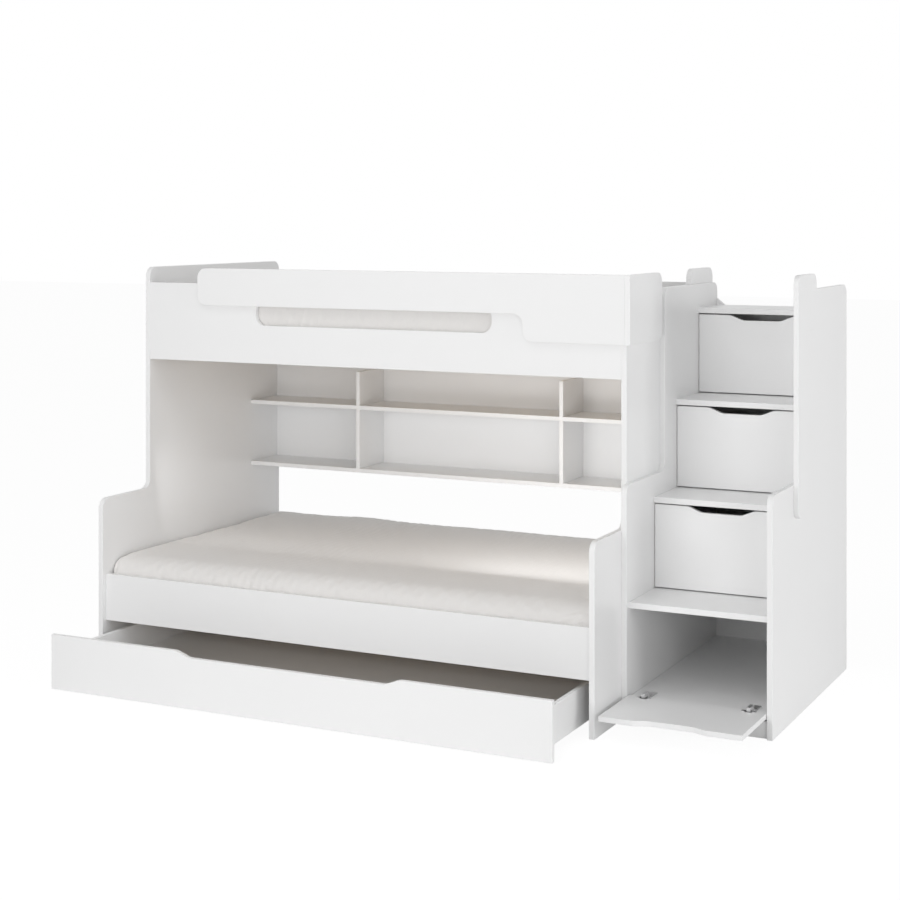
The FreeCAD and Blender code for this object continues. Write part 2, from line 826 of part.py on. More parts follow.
class DoorPlace:
    """Where one door's hinge axis stands and how the door lies about it."""

    def __init__(self, number):
        self.number = number
        self.lowest = number == 1
        self.depth = d.flap_pivot_depth if self.lowest else d.pivot_depth
        self.edge = d.flap_pivot_drop if self.lowest else -d.pivot_depth
        self.turn = d.flap_open if self.lowest else d.upper_door_open
        self.inner = d.door_board - self.depth
        self.cup_z = self.edge + d.cup_height
        self.surface = -d.door_bottom_gap + self.edge
        face = -NOSINGS[number - 1] + d.door_recess
        bottom = FLOOR_SURFACES[number - 1] + d.door_bottom_gap
        self.axis = (STAIR_LEFT + d.door_side_gap, face + self.depth, bottom - self.edge)
        self.hinges = (d.hinge_inset, DOOR_WIDTH - d.hinge_inset)


def make_door(place):
    """One drop-down door, bored for its two hinges."""
    door = Piece(f"door_{place.number}", place.axis, place.turn)
    corners, dip = notched_top(DOOR_WIDTH, DOOR_HEIGHT, d.door_notch_top, d.door_notch_bottom)
    corners = [(u, v + place.edge) for u, v in corners]
    dip = [(u, v + place.edge) for u, v in dip]
    door.outline("XZ", corners, d.door_board, setback=place.depth)
    door.round_corners("XZ", dip, d.door_notch_radius)
    door.soften()
    pocket = d.cup_depth + d.fit_clearance
    slot = slot_size(place)
    for x in place.hinges:
        start = (x, place.inner - pocket, place.cup_z)
        door.bore("y", start, pocket, d.cup_radius + d.fit_clearance)
        if not place.lowest:
            door.block(slot, slot_corner(x, place), kind="SubtractiveBox")
    return door


def slot_size(place):
    """The slot that lets the arm of an upper hinge swing out through the lower edge."""
    reach = d.hinge_arm_radius + d.hinge_slot_clearance
    width = d.hinge_arm_width + d.hinge_slot_clearance * 2
    return (width, place.inner + reach, reach - place.edge)


def slot_corner(x, place):
    reach = d.hinge_arm_radius + d.hinge_slot_clearance
    return (x - d.hinge_arm_width / 2 - d.hinge_slot_clearance, -reach, place.edge)


def hinge_cup(x, place):
    """The cup with its two wings, hollow above the part that holds the pin."""
    mouth = place.inner + d.hinge_flange_sheet
    cup = rod("y", (x, place.inner - d.cup_depth, place.cup_z), d.cup_depth, d.cup_radius)
    wing_size = (d.hinge_flange_width, d.hinge_flange_sheet, d.hinge_flange_height)
    wing_z = place.cup_z - d.hinge_flange_height / 2
    wings = slab(wing_size, (x - d.hinge_flange_width / 2, place.inner, wing_z))
    hollow_y = place.inner - d.cup_depth + d.cup_wall
    bowl = rod("y", (x, hollow_y, place.cup_z), mouth - hollow_y, d.cup_radius - d.cup_wall)
    upper_size = (d.cup_radius * 2, mouth - hollow_y, d.cup_radius * 2)
    hollow_z = place.cup_z - d.cup_radius + d.cup_wall * 2 + d.hinge_arm_radius * 2
    upper = slab(upper_size, (x - d.cup_radius, hollow_y, hollow_z))
    hollow = doc.addObject("Part::Common", "hollow")
    hollow.Base = bowl
    hollow.Tool = upper
    return joined(cup, wings), hollow


def upper_hinge_cup(x, place):
    """A cup with its pin, slotted for the arm."""
    cup, hollow = hinge_cup(x, place)
    slot = slab(slot_size(place), slot_corner(x, place))
    pin_start = (x - d.hinge_pin_length / 2, 0, 0)
    pin = rod("x", pin_start, d.hinge_pin_length, d.hinge_pin_radius)
    return joined(without(cup, hollow, slot), pin)


def flap_hinge_cup(x, place):
    """A cup whose gooseneck reaches down behind the door to a knuckle below its edge."""
    cup, hollow = hinge_cup(x, place)
    left = x - d.gooseneck_width / 2
    low = -d.gooseneck_thickness / 2
    foot = slab((d.gooseneck_width, d.gooseneck_reach, d.gooseneck_thickness), (left, 0, low))
    mouth = place.inner + d.hinge_flange_sheet
    top = place.cup_z + d.hinge_flange_height / 2
    neck_size = (d.gooseneck_width, d.gooseneck_reach - mouth, top - low)
    neck = slab(neck_size, (left, mouth, low))
    hollow_y = place.inner - d.cup_depth + d.cup_wall
    root_size = (d.gooseneck_width, mouth - hollow_y, d.hinge_flange_height)
    root = slab(root_size, (left, hollow_y, top - d.hinge_flange_height))
    knuckle = rod("x", (left, 0, 0), d.gooseneck_width, d.knuckle_radius)
    bore_radius = d.hinge_pin_radius + d.running_clearance
    bore = rod("x", (left, 0, 0), d.gooseneck_width, bore_radius)
    return without(joined(without(cup, hollow), foot, neck, root, knuckle), bore)


def upper_hinge_arm(axis, place):
    """An arm that rises from a plate on the tread and ends in an eye round the cup's pin."""
    half = d.hinge_arm_width / 2
    radius = d.hinge_arm_radius
    reach = d.hinge_foot_start + d.hinge_foot_depth
    eye = rod("x", shifted(axis, -half, 0, 0), d.hinge_arm_width, radius)
    bar = slab((d.hinge_arm_width, reach, radius * 2), shifted(axis, -half, 0, -radius))
    foot_size = (d.hinge_arm_width, d.hinge_foot_depth, radius - place.surface)
    foot = slab(foot_size, shifted(axis, -half, d.hinge_foot_start, place.surface))
    plate_size = (d.hinge_plate_width, d.hinge_plate_depth, d.hinge_sheet)
    plate_corner = (-d.hinge_plate_width / 2, d.hinge_plate_start, place.surface)
    plate = slab(plate_size, shifted(axis, *plate_corner))
    bore_radius = d.hinge_pin_radius + d.running_clearance
    bore = rod("x", shifted(axis, -half, 0, 0), d.hinge_arm_width, bore_radius)
    return without(joined(eye, bar, foot, plate), bore)


def flap_hinge_arm(axis, place):
    """A forked plate on the floor panel whose two ears hold the pin of the lowest door."""
    inner = d.gooseneck_width / 2 + d.ear_gap
    outer = inner + d.hinge_sheet
    ear_back = d.gooseneck_reach + d.ear_margin
    top = place.surface + d.hinge_sheet
    plate_size = (d.hinge_plate_width, ear_back + d.hinge_plate_depth, d.hinge_sheet)
    plate = slab(plate_size, shifted(axis, -d.hinge_plate_width / 2, d.ear_radius, place.surface))
    slot_start = shifted(axis, -inner, 0, place.surface)
    slot = slab((inner * 2, ear_back, d.hinge_sheet), slot_start)
    pieces = [without(plate, slot)]
    ear_size = (d.hinge_sheet, d.ear_radius + ear_back, d.ear_radius + top)
    for x in (inner, -outer):
        pieces.append(slab(ear_size, shifted(axis, x, -d.ear_radius, -d.ear_radius)))
    pieces.append(rod("x", shifted(axis, -outer, 0, 0), outer * 2, d.hinge_pin_radius))
    return joined(*pieces)


def notch_floor(floor_board, place):
    """Cut the floor panel's front edge for the ears of the lowest door's hinges."""
    outer = d.gooseneck_width / 2 + d.ear_gap + d.hinge_sheet + d.floor_notch_margin
    front = -STAIR_FRONT + d.floor_setback
    ear_back = d.gooseneck_reach + d.ear_margin + d.floor_notch_margin
    size = (outer * 2, place.axis[1] + ear_back - front, d.tread_board)
    bottom = d.stair_floor_top - d.tread_board
    for x in place.hinges:
        corner = (place.axis[0] + x - outer, front, bottom)
        floor_board.block(size, floor_board.local(corner), kind="SubtractiveBox")


def make_doors(floor_board):
    for number in range(1, 5):
        place = DoorPlace(number)
        make_door(place)
        make_cup = flap_hinge_cup if place.lowest else upper_hinge_cup
        make_arm = flap_hinge_arm if place.lowest else upper_hinge_arm
        cups = group(f"door_{number}_hinge_cups", [make_cup(x, place) for x in place.hinges])
        put(cups, in_frame(place.axis))
        cups.Placement.Rotation = FreeCAD.Rotation(FreeCAD.Vector(1, 0, 0), 1)
        cups.setExpression("Placement.Rotation.Angle", place.turn.formula)
        axes = [shifted(in_frame(place.axis), x, 0, 0) for x in place.hinges]
        group(f"door_{number}_hinge_arms", [make_arm(axis, place) for axis in axes])
        if place.lowest:
            notch_floor(floor_board, place)


# Fittings: cam bolts and discs, dowels and screws, each with the bores that it sits in.

bolts = []
discs = []
dowels = []
drawer_dowels = []
screws = []


def cam_joint(board, panel, point, side, face_axis, face, inward, mid):
    """A bolt in the panel that reaches into a disc let into the board's hidden face.

    The point is where the bolt crosses the joint, side is +1 where the board lies towards +x of
    it, and the disc goes in from the face, inward along the face axis; mid is the bolt's depth
    below that face.
    """
    x, y, z = point
    bolt_length = d.cam_bolt_grip + d.cam_distance
    bolt_start = x - d.cam_bolt_grip if side > 0 else x - d.cam_distance
    bolts.append(rod("x", in_frame((bolt_start, y, z)), bolt_length, d.cam_bolt_radius))
    bore_radius = d.cam_bolt_radius + d.fit_clearance
    panel_depth = d.cam_bolt_grip + d.fit_clearance
    board_depth = d.cam_distance + d.fit_clearance
    panel_start = x - panel_depth if side > 0 else x
    board_start = x if side > 0 else x - board_depth
    panel.bore("x", panel.local((panel_start, y, z)), panel_depth, bore_radius)
    board.bore("x", board.local((board_start, y, z)), board_depth, bore_radius)
    centre = [x + d.cam_distance * side, y, z]
    index = "xyz".index(face_axis)
    pocket_depth = d.cam_depth + d.fit_clearance
    centre[index] = face if inward > 0 else face - pocket_depth
    board.bore(face_axis, board.local(centre), pocket_depth, d.cam_radius + d.fit_clearance)
    centre[index] = face if inward > 0 else face - d.cam_depth
    disc = rod(face_axis, in_frame(centre), d.cam_depth, d.cam_radius)
    half = d.cam_bolt_radius + d.cam_notch_clearance
    length = d.cam_radius + half
    deep = d.cam_depth - mid + half
    corner = [centre[0] - (d.cam_radius if side > 0 else half), centre[1] - half, centre[2] - half]
    corner[index] = face + mid - half if inward > 0 else face - d.cam_depth
    size = [length, half * 2, half * 2]
    size[index] = deep
    discs.append(without(disc, slab(size, in_frame(corner))))


def dowel(first, second, axis, point, rods):
    """A dowel half in each of two boards that meet at the point."""
    index = "xyz".index(axis)
    start = list(point)
    start[index] = start[index] - d.dowel_grip
    rods.append(rod(axis, in_frame(start), d.dowel_grip * 2, d.dowel_radius))
    depth = d.dowel_grip + d.fit_clearance
    start[index] = Size.of(point[index]) - depth
    for piece in (first, second):
        piece.bore(axis, piece.local(start), depth * 2, d.dowel_radius + d.fit_clearance)


def screw(outer, inner, axis, head, forward, length):
    """A screw whose head lies flush in the outer board and whose tip is in the inner one."""
    index = "xyz".index(axis)

    def start_of(depth, run):
        start = [Size.of(value) for value in head]
        start[index] = start[index] + depth if forward > 0 else start[index] - depth - run
        return start

    shank = length - d.screw_head_height
    shank_start = start_of(d.screw_head_height, shank)
    head_start = start_of(0, d.screw_head_height)
    shank_rod = rod(axis, in_frame(shank_start), shank, d.screw_radius)
    head_rod = rod(axis, in_frame(head_start), d.screw_head_height, d.screw_head_radius)
    screws.append(joined(shank_rod, head_rod))
    run = length + d.fit_clearance
    bore_start = start_of(0, run)
    for piece in (outer, inner):
        piece.bore(axis, piece.local(bore_start), run, d.screw_radius + d.fit_clearance)
    sink = d.screw_head_height + d.fit_clearance
    outer.bore(axis, outer.local(start_of(0, sink)), sink, d.screw_head_radius + d.fit_clearance)


def spread(first, last, count):
    return [first + (last - first) * (index / (count - 1)) for index in range(count)]


def fit_rails(rails, left_end, right_end):
    """Two cam fittings at each end of each rail, their discs in the rail's inner face."""
    for name, rail in rails.items():
        level, row = name.split("_")
        if level == "upper":
            low, high = d.upper_rail_bottom, UPPER_RAIL_TOP
        else:
            low, high = d.lower_rail_bottom, LOWER_RAIL_TOP
        if row == "back":
            face, inward = -d.board, 1
        else:
            outer = -d.upper_depth if level == "upper" else -d.lower_depth + d.rail_recess
            face, inward = outer + d.board, -1
        y = face + d.board / 2 * inward
        for z in (low + d.rail_cam_inset, high - d.rail_cam_inset):
            for panel, x, side in ((left_end, Size.of(0), 1), (right_end, d.bed_length, -1)):
                cam_joint(rail, panel, (x, y, z), side, "y", face, inward, d.board / 2)


def fit_shelves(shelves, left_end, right_end):
    """Cam fittings from below at both ends of each shelf."""
    for name, shelf in shelves.items():
        bottom = SHELF_LOWER_BOTTOM if name == "lower" else SHELF_UPPER_BOTTOM
        mid = d.shelf_board / 2
        for y in (-d.shelf_depth + d.board_cam_inset, -d.board_cam_inset - d.shelf_board):
            for panel, x, side in ((left_end, Size.of(0), 1), (right_end, d.bed_length, -1)):
                point = (x, y, bottom + mid)
                cam_joint(shelf, panel, point, side, "z", bottom, 1, mid)


def fit_stair_boards(boards, sides):
    """Cam fittings from below at both ends of the floor panel and of each tread."""
    mid = d.tread_board / 2
    for (board, front), top in zip(boards, FLOOR_SURFACES):
        bottom = top - d.tread_board
        for y in (-front + d.board_cam_inset, -d.stair_back_board - d.board_cam_inset):
            for panel, x, side in ((sides["left"], STAIR_LEFT, 1), (sides["right"], STAIR_RIGHT, -1)):
                cam_joint(board, panel, (x, y, bottom + mid), side, "z", bottom, 1, mid)


def screw_guards(rails, guards, right_end):
    """Screws from the mattress side into the front guard and the end guard."""
    front_guard, end_guard = guards
    head_y = -d.upper_depth + d.board
    length = d.board * 2 - d.screw_tip_gap
    z = (SLOT_TOP + UPPER_RAIL_TOP) / 2
    first = d.guard_inset + d.screw_inset
    for x in spread(first, d.bed_length - d.board_cam_inset, COUNTS["guard_screws"]):
        screw(rails["upper_front"], front_guard, "y", (x, head_y, z), -1, length)
    z = (GUARD_DEEP_BOTTOM + GATE_TOP) / 2
    end_back = -d.upper_depth - d.board + d.end_guard_depth
    for y in spread(head_y + d.screw_inset, end_back - d.screw_inset, COUNTS["end_guard_screws"]):
        screw(right_end, end_guard, "x", (d.bed_length, y, z), 1, length)


def screw_handrail(side, handrail):
    """Two screws in the low part of the stair side and two in its tall part."""
    length = d.board + d.handrail_board - d.screw_tip_gap
    front = -HANDRAIL_FRONT
    low_z = (HANDRAIL_BOTTOM + STAIR_LOW_TOP) / 2
    for y in (front + d.screw_inset, front + d.handrail_width - d.screw_inset):
        screw(side, handrail, "x", (STAIR_RIGHT, y, low_z), 1, length)
    high_y = (-STAIR_TALL_DEPTH + front + d.handrail_top_width) / 2
    for z in (HANDRAIL_STEP + d.screw_inset, STAIR_TOP - d.screw_inset):
        screw(side, handrail, "x", (STAIR_RIGHT, high_y, z), 1, length)


def screw_stair(right_end, side):
    """Four screws that tie the stair to the bed end beside it."""
    length = d.board * 2 - d.screw_tip_gap
    rows = (-d.upper_depth + d.stair_tie_inset, -d.stair_tie_inset)
    for y in rows:
        for z in (d.stair_tie_low, d.stair_tie_high):
            screw(right_end, side, "x", (d.bed_length, y, z), 1, length)


def screw_shelves(shelves, back_panel):
    """Screws through the back panel into the rear edge of each shelf."""
    length = d.shelf_board + d.cam_distance
    for name, shelf in shelves.items():
        bottom = SHELF_LOWER_BOTTOM if name == "lower" else SHELF_UPPER_BOTTOM
        places = spread(d.board_cam_inset, d.bed_length - d.board_cam_inset, COUNTS["shelf_screws"])
        for x in places:
            head = (x, 0, bottom + d.shelf_board / 2)
            screw(back_panel, shelf, "y", head, -1, length)


def dowel_drawer():
    """Dowels between the drawer's front, sides, back and bottom."""
    inside = -d.lower_depth - d.drawer_out + d.drawer_board
    back = inside + DRAWER_BOX_DEPTH
    left = d.drawer_side_inset + d.drawer_board
    bottom_z = d.wheel_radius * 2 + d.castor_head_gap + d.castor_sheet
    bottom_z = bottom_z + d.drawer_bottom_thickness / 2
    levels = (d.drawer_side_bottom + d.dowel_inset, DRAWER_SIDE_TOP - d.dowel_inset)
    joints = {"left": (left, left - d.drawer_board / 2)}
    joints["right"] = (d.bed_length - left, d.bed_length - left + d.drawer_board / 2)
    for side, (joint_x, middle_x) in joints.items():
        panel = pieces[f"drawer_side_{side}"]
        for z in levels:
            front_point = (middle_x, inside, z)
            back_point = (joint_x, back - d.drawer_board / 2, z)
            dowel(pieces["drawer_front"], panel, "y", front_point, drawer_dowels)
            dowel(pieces["drawer_back"], panel, "x", back_point, drawer_dowels)
        for y in spread(inside + d.board_cam_inset, back - d.board_cam_inset, COUNTS["back_dowels"]):
            dowel(pieces["drawer_bottom"], panel, "x", (joint_x, y, bottom_z), drawer_dowels)


def dowel_stair():
    """Dowels that hold the plinth and the back panel between the stair sides."""
    plinth_y = -PLINTH_FRONT + d.plinth_board / 2
    plinth_z = (d.stair_floor_top - d.tread_board) / 2
    back_y = -d.stair_back_board / 2
    levels = spread(d.board_cam_inset, FLOOR_SURFACES[4] - d.board_cam_inset, COUNTS["back_dowels"])
    for side, x in {"left": STAIR_LEFT, "right": STAIR_RIGHT}.items():
        panel = pieces[f"stair_side_{side}"]
        dowel(panel, pieces["stair_plinth"], "x", (x, plinth_y, plinth_z), dowels)
        for z in levels:
            dowel(panel, pieces["stair_back_panel"], "x", (x, back_y, z), dowels)


def dowel_shelf():
    """Dowels for the shelf's back panel and for both ends of its dividers."""
    back_y = -d.shelf_board / 2
    ends = {"left_end_panel": Size.of(0), "right_end_panel": d.bed_length}
    lowest = SHELF_LOWER_BOTTOM + d.board_cam_inset
    highest = d.upper_rail_bottom - d.board_cam_inset
    for label, x in ends.items():
        for z in (lowest, highest):
            dowel(pieces[label], pieces["shelf_back_panel"], "x", (x, back_y, z), dowels)
    lower_top = SHELF_LOWER_BOTTOM + d.shelf_board
    upper_top = SHELF_UPPER_BOTTOM + d.shelf_board
    meetings = (
        ("shelf_lower", "lower", lower_top, d.dowel_inset),
        ("shelf_upper", "lower", SHELF_UPPER_BOTTOM, d.dowel_inset),
        ("shelf_upper", "upper", upper_top, d.dowel_inset * 2),
    )
    middles = {"left": d.divider_inset, "right": d.bed_length - d.divider_inset}
    for side, x in middles.items():
        for shelf, level, z, inset in meetings:
            divider = pieces[f"shelf_divider_{level}_{side}"]
            for y in (-d.shelf_depth + inset, -d.shelf_board - inset):
                dowel(pieces[shelf], divider, "z", (x, y, z), dowels)


def build_bed():
    left_end = make_left_end()
    right_end = make_right_end()
    rails = make_rails()
    guards = make_guards()
    levels = {
        "upper": (-d.upper_depth + d.board, d.upper_rail_bottom + d.upper_slat_rise),
        "lower": (
            -d.lower_depth + d.rail_recess + d.board,
            d.lower_rail_bottom + d.lower_slat_rise,
        ),
    }
    for level, (front_inner, slat_top) in levels.items():
        make_base(level, front_inner, slat_top)
        make_mattress(level, front_inner, slat_top)
    shelves = make_shelf()
    make_drawer()
    sides = make_stair_sides()
    handrail = make_handrail()
    boards = make_stair_boards()
    make_doors(pieces["stair_floor"])
    fit_rails(rails, left_end, right_end)
    fit_shelves(shelves, left_end, right_end)
    fit_stair_boards(boards, sides)
    screw_guards(rails, guards, right_end)
    screw_handrail(sides["right"], handrail)
    screw_stair(right_end, sides["left"])
    screw_shelves(shelves, pieces["shelf_back_panel"])
    dowel_drawer()
    dowel_stair()
    dowel_shelf()
    group("cam_bolts", bolts)
    group("cam_discs", discs)
    group("screws", screws)
    group("dowels", dowels)
    group("drawer_dowels", drawer_dowels)
    doc.recompute()


def check_model():
    """Stop if any object failed or any piece lacks a sound shape."""
    for item in doc.Objects:
        if "Invalid" in item.State or "Error" in item.State:
            raise RuntimeError(f"{item.Label} failed: {item.State}")
    for node in nodes:
        if node.Shape.isNull() or not node.Shape.isValid() or not node.Shape.Solids:
            raise RuntimeError(f"{node.Label} has no sound shape")


def write_parts():
    os.makedirs("parts", exist_ok=True)
    for node in nodes:
        node.Shape.exportStep(f"parts/{node.Label}.step")
        print(f"{node.Label}: {len(node.Shape.Solids)} solid(s), {node.Shape.Volume:.0f} mm3")


build_bed()
check_model()
write_parts()
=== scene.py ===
"""Looks of a white bunk bed with a storage stair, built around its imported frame.

Every measure is in metres, in the frame's own axes: +X along the bed towards the stair, +Y to the
wall behind it and +Z up from the floor.
"""

import json
import logging
import math
from dataclasses import dataclass, field
from enum import Enum
from typing import Any, Iterable

import bpy
import numpy as np
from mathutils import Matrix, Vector


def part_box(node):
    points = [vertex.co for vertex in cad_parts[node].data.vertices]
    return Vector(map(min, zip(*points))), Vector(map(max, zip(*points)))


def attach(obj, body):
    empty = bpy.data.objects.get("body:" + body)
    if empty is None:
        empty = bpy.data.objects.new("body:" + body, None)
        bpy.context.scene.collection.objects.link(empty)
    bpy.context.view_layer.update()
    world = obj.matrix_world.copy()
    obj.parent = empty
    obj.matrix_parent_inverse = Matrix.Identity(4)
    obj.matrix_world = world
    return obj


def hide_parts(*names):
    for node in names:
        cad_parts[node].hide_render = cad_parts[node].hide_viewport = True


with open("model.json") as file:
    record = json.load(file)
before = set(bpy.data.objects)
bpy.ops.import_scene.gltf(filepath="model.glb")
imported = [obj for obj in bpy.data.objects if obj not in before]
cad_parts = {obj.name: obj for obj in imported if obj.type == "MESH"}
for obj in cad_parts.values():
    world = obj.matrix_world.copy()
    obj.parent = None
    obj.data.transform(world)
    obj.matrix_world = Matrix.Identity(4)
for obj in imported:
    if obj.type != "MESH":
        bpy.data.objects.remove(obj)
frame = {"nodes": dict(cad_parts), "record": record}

log = logging.getLogger("bunk_bed")
FLAT_MAP = "flat"
Colour = tuple[float, float, float]


class Bodies(str, Enum):
    """The bodies that new pieces ride on."""

    BED = "bed"
    DRAWER = "drawer"


class Slots(str, Enum):
    """The record's material slots."""

    BOARD = "white_board"
    COVER = "mattress_cover"
    WOOD = "bare_wood"
    STEEL = "steel"
    RUBBER = "castor_rubber"


# Shader graphs


class Wire:
    """A shader socket that takes part in arithmetic; each operator adds one Math node."""

    def __init__(self, graph: "Graph", socket: bpy.types.NodeSocket) -> None:
        """Keep the graph that new nodes go into and the socket that carries the value."""
        self.graph = graph
        self.socket = socket

    def combine(self, operation: str, first: Any, second: Any) -> "Wire":
        """Join two values, each a wire or a number, in one Math node.

        Args:
            operation: the Math node's operation.
            first: the upper input.
            second: the lower input.

        Returns:
            The node's value as a new wire.
        """
        node = self.graph.add("ShaderNodeMath", {"operation": operation}, {0: first, 1: second})
        return Wire(self.graph, node.outputs[0])

    def __add__(self, other: Any) -> "Wire":
        """This value plus another."""
        return self.combine("ADD", self, other)

    def __radd__(self, other: Any) -> "Wire":
        """Another value plus this one."""
        return self.combine("ADD", other, self)

    def __sub__(self, other: Any) -> "Wire":
        """This value minus another."""
        return self.combine("SUBTRACT", self, other)

    def __rsub__(self, other: Any) -> "Wire":
        """Another value minus this one."""
        return self.combine("SUBTRACT", other, self)

    def __mul__(self, other: Any) -> "Wire":
        """This value times another."""
        return self.combine("MULTIPLY", self, other)

    def __rmul__(self, other: Any) -> "Wire":
        """Another value times this one."""
        return self.combine("MULTIPLY", other, self)


class Graph:
    """One material's node tree around a Principled shader."""

    def __init__(self, name: str) -> None:
        """Start an empty material.

        Args:
            name: the material's name.
        """
        self.material = bpy.data.materials.new(name)
        self.material.use_nodes = True
        self.tree = self.material.node_tree
        self.tree.nodes.clear()
        self.output = self.tree.nodes.new("ShaderNodeOutputMaterial")

    def add(self, kind: str, settings: dict[str, Any], inputs: dict[Any, Any]) -> bpy.types.Node:
        """Add a node, set its properties and then feed its sockets.

        Args:
            kind: the node's type name.
            settings: properties to set first, such as an operation; "stops" fills a colour ramp.
            inputs: socket name or index to a number, a colour, a socket or a Wire.

        Returns:
            The new node.
        """
        node = self.tree.nodes.new(kind)
        for key, value in settings.items():
            if key == "stops":
                self.fill_ramp(node, value)
            else:
                setattr(node, key, value)
        for key, value in inputs.items():
            self.feed(node.inputs[key], value)
        return node

    def feed(self, target: bpy.types.NodeSocket, value: Any) -> None:
        """Link a socket or a wire to the target, or set the target's own value."""
        if isinstance(value, Wire):
            value = value.socket
        if isinstance(value, bpy.types.NodeSocket):
            self.tree.links.new(value, target)
        else:
            target.default_value = value

    @staticmethod
    def fill_ramp(node: bpy.types.Node, stops: list[tuple[float, Colour]]) -> None:
        """Give a colour ramp its stops, each a position and a colour."""
        elements = node.color_ramp.elements
        while len(elements) < len(stops):
            elements.new(0.5)
        for element, (position, colour) in zip(elements, stops):
            element.position = position
            element.color = (*colour, 1.0)

    def noise(self, where: Any, scale: float, detail: float = 3.0, rough: float = 0.5) -> Wire:
        """Smooth noise from 0 to 1.

        Args:
            where: the coordinates' socket.
            scale: how many features lie in a metre.
            detail: the number of finer layers.
            rough: the strength of the finer layers.

        Returns:
            The noise value.
        """
        sizes = {"Vector": where, "Scale": scale, "Detail": detail, "Roughness": rough}
        return Wire(self, self.add("ShaderNodeTexNoise", {}, sizes).outputs["Fac"])

    def mix(self, share: Any, first: Any, second: Any) -> bpy.types.NodeSocket:
        """Blend two colours by a share from 0 to 1 and return the colour's socket."""
        node = self.add("ShaderNodeMix", {"data_type": "RGBA"}, {0: share, 6: first, 7: second})
        return node.outputs[2]

    def bump(self, height: Wire, distance: float, below: Any = None) -> bpy.types.NodeSocket:
        """Turn a height into a normal.

        Args:
            height: the height from 0 to 1.
            distance: the height's full travel in metres.
            below: the normal of a coarser bump underneath, if there is one.

        Returns:
            The normal's socket.
        """
        inputs = {"Height": height, "Distance": distance, "Strength": 1.0}
        if below is not None:
            inputs["Normal"] = below
        return self.add("ShaderNodeBump", {}, inputs).outputs["Normal"]

    def close(self, inputs: dict[str, Any]) -> bpy.types.Material:
        """Add the Principled shader with its inputs, link it to the output and hand it over."""
        shader = self.add("ShaderNodeBsdfPrincipled", {}, inputs)
        self.tree.links.new(shader.outputs[0], self.output.inputs[0])
        return self.material


def colour4(colour: Colour, factor: float = 1.0) -> tuple[float, float, float, float]:
    """A colour scaled by a factor, with full alpha."""
    return (colour[0] * factor, colour[1] * factor, colour[2] * factor, 1.0)


# Finishes


@dataclass(frozen=True)
class WhiteLacquer:
    """Satin lacquered board: nearly even white with a fine orange peel."""

    colour: Colour = (0.9, 0.9, 0.9)
    drift: float = 0.012
    roughness: float = 0.34
    roughness_drift: float = 0.08
    peel_per_metre: float = 420.0
    peel_height: float = 0.00003

    def make(self) -> bpy.types.Material:
        """Build the material.

        Returns:
            The finished material.
        """
        graph = Graph("white_lacquer")
        where = graph.add("ShaderNodeTexCoord", {}, {}).outputs["Object"]
        cloud = graph.noise(where, 2.2, 2.0)
        rubbed = graph.noise(where, 9.0, 4.0, 0.6)
        pale = colour4(self.colour, 1 + self.drift)
        deep = colour4(self.colour, 1 - self.drift)
        peel = graph.noise(where, self.peel_per_metre, 1.5)
        return graph.close(
            {
                "Base Color": graph.mix(cloud, deep, pale),
                "Roughness": rubbed * self.roughness_drift + (self.roughness - self.roughness_drift / 2),
                "Normal": graph.bump(peel, self.peel_height),
                "Specular IOR Level": 0.45,
            }
        )


@dataclass(frozen=True)
class SpruceSlat:
    """Sanded spruce whose grain runs along one axis, with growth rings and fine pores."""

    name: str
    along: int
    early: Colour = (0.74, 0.585, 0.4)
    late: Colour = (0.6, 0.43, 0.26)
    stretch: float = 0.05

    def make(self) -> bpy.types.Material:
        """Build the material.

        Returns:
            The finished material.
        """
        graph = Graph(self.name)
        where = graph.add("ShaderNodeTexCoord", {}, {}).outputs["Object"]
        scale = [1.0, 1.0, 1.0]
        scale[self.along] = self.stretch
        mapped = graph.add("ShaderNodeMapping", {}, {"Vector": where, "Scale": scale})
        laid = mapped.outputs["Vector"]
        wander = graph.noise(laid, 14.0, 3.0)
        rings = graph.noise(laid, 70.0, 4.0, 0.65)
        pores = graph.noise(laid, 900.0, 2.0)
        grain = graph.add(
            "ShaderNodeValToRGB",
            {"stops": [(0.35, self.early), (0.62, self.late)]},
            {"Fac": rings * 0.75 + wander * 0.25},
        )
        height = rings * 0.6 + pores * 0.4
        return graph.close(
            {
                "Base Color": grain.outputs["Color"],
                "Roughness": pores * 0.15 + 0.52,
                "Normal": graph.bump(height, 0.0003),
            }
        )


@dataclass(frozen=True)
class NickelSteel:
    """Nickel plated steel with fine brushing across one axis."""

    name: str = "nickel_steel"
    colour: Colour = (0.86, 0.86, 0.865)
    roughness: float = 0.28
    brush_per_metre: float = 2600.0

    def make(self) -> bpy.types.Material:
        """Build the material.

        Returns:
            The finished material.
        """
        graph = Graph(self.name)
        where = graph.add("ShaderNodeTexCoord", {}, {}).outputs["Object"]
        mapped = graph.add("ShaderNodeMapping", {}, {"Vector": where, "Scale": (0.04, 1.0, 1.0)})
        brush = graph.noise(mapped.outputs["Vector"], self.brush_per_metre, 2.0)
        stain = graph.noise(where, 160.0, 3.0)
        return graph.close(
            {
                "Base Color": graph.mix(stain, colour4(self.colour, 0.9), colour4(self.colour)),
                "Metallic": 1.0,
                "Roughness": brush * 0.12 + self.roughness,
                "Normal": graph.bump(brush, 0.00002),
            }
        )


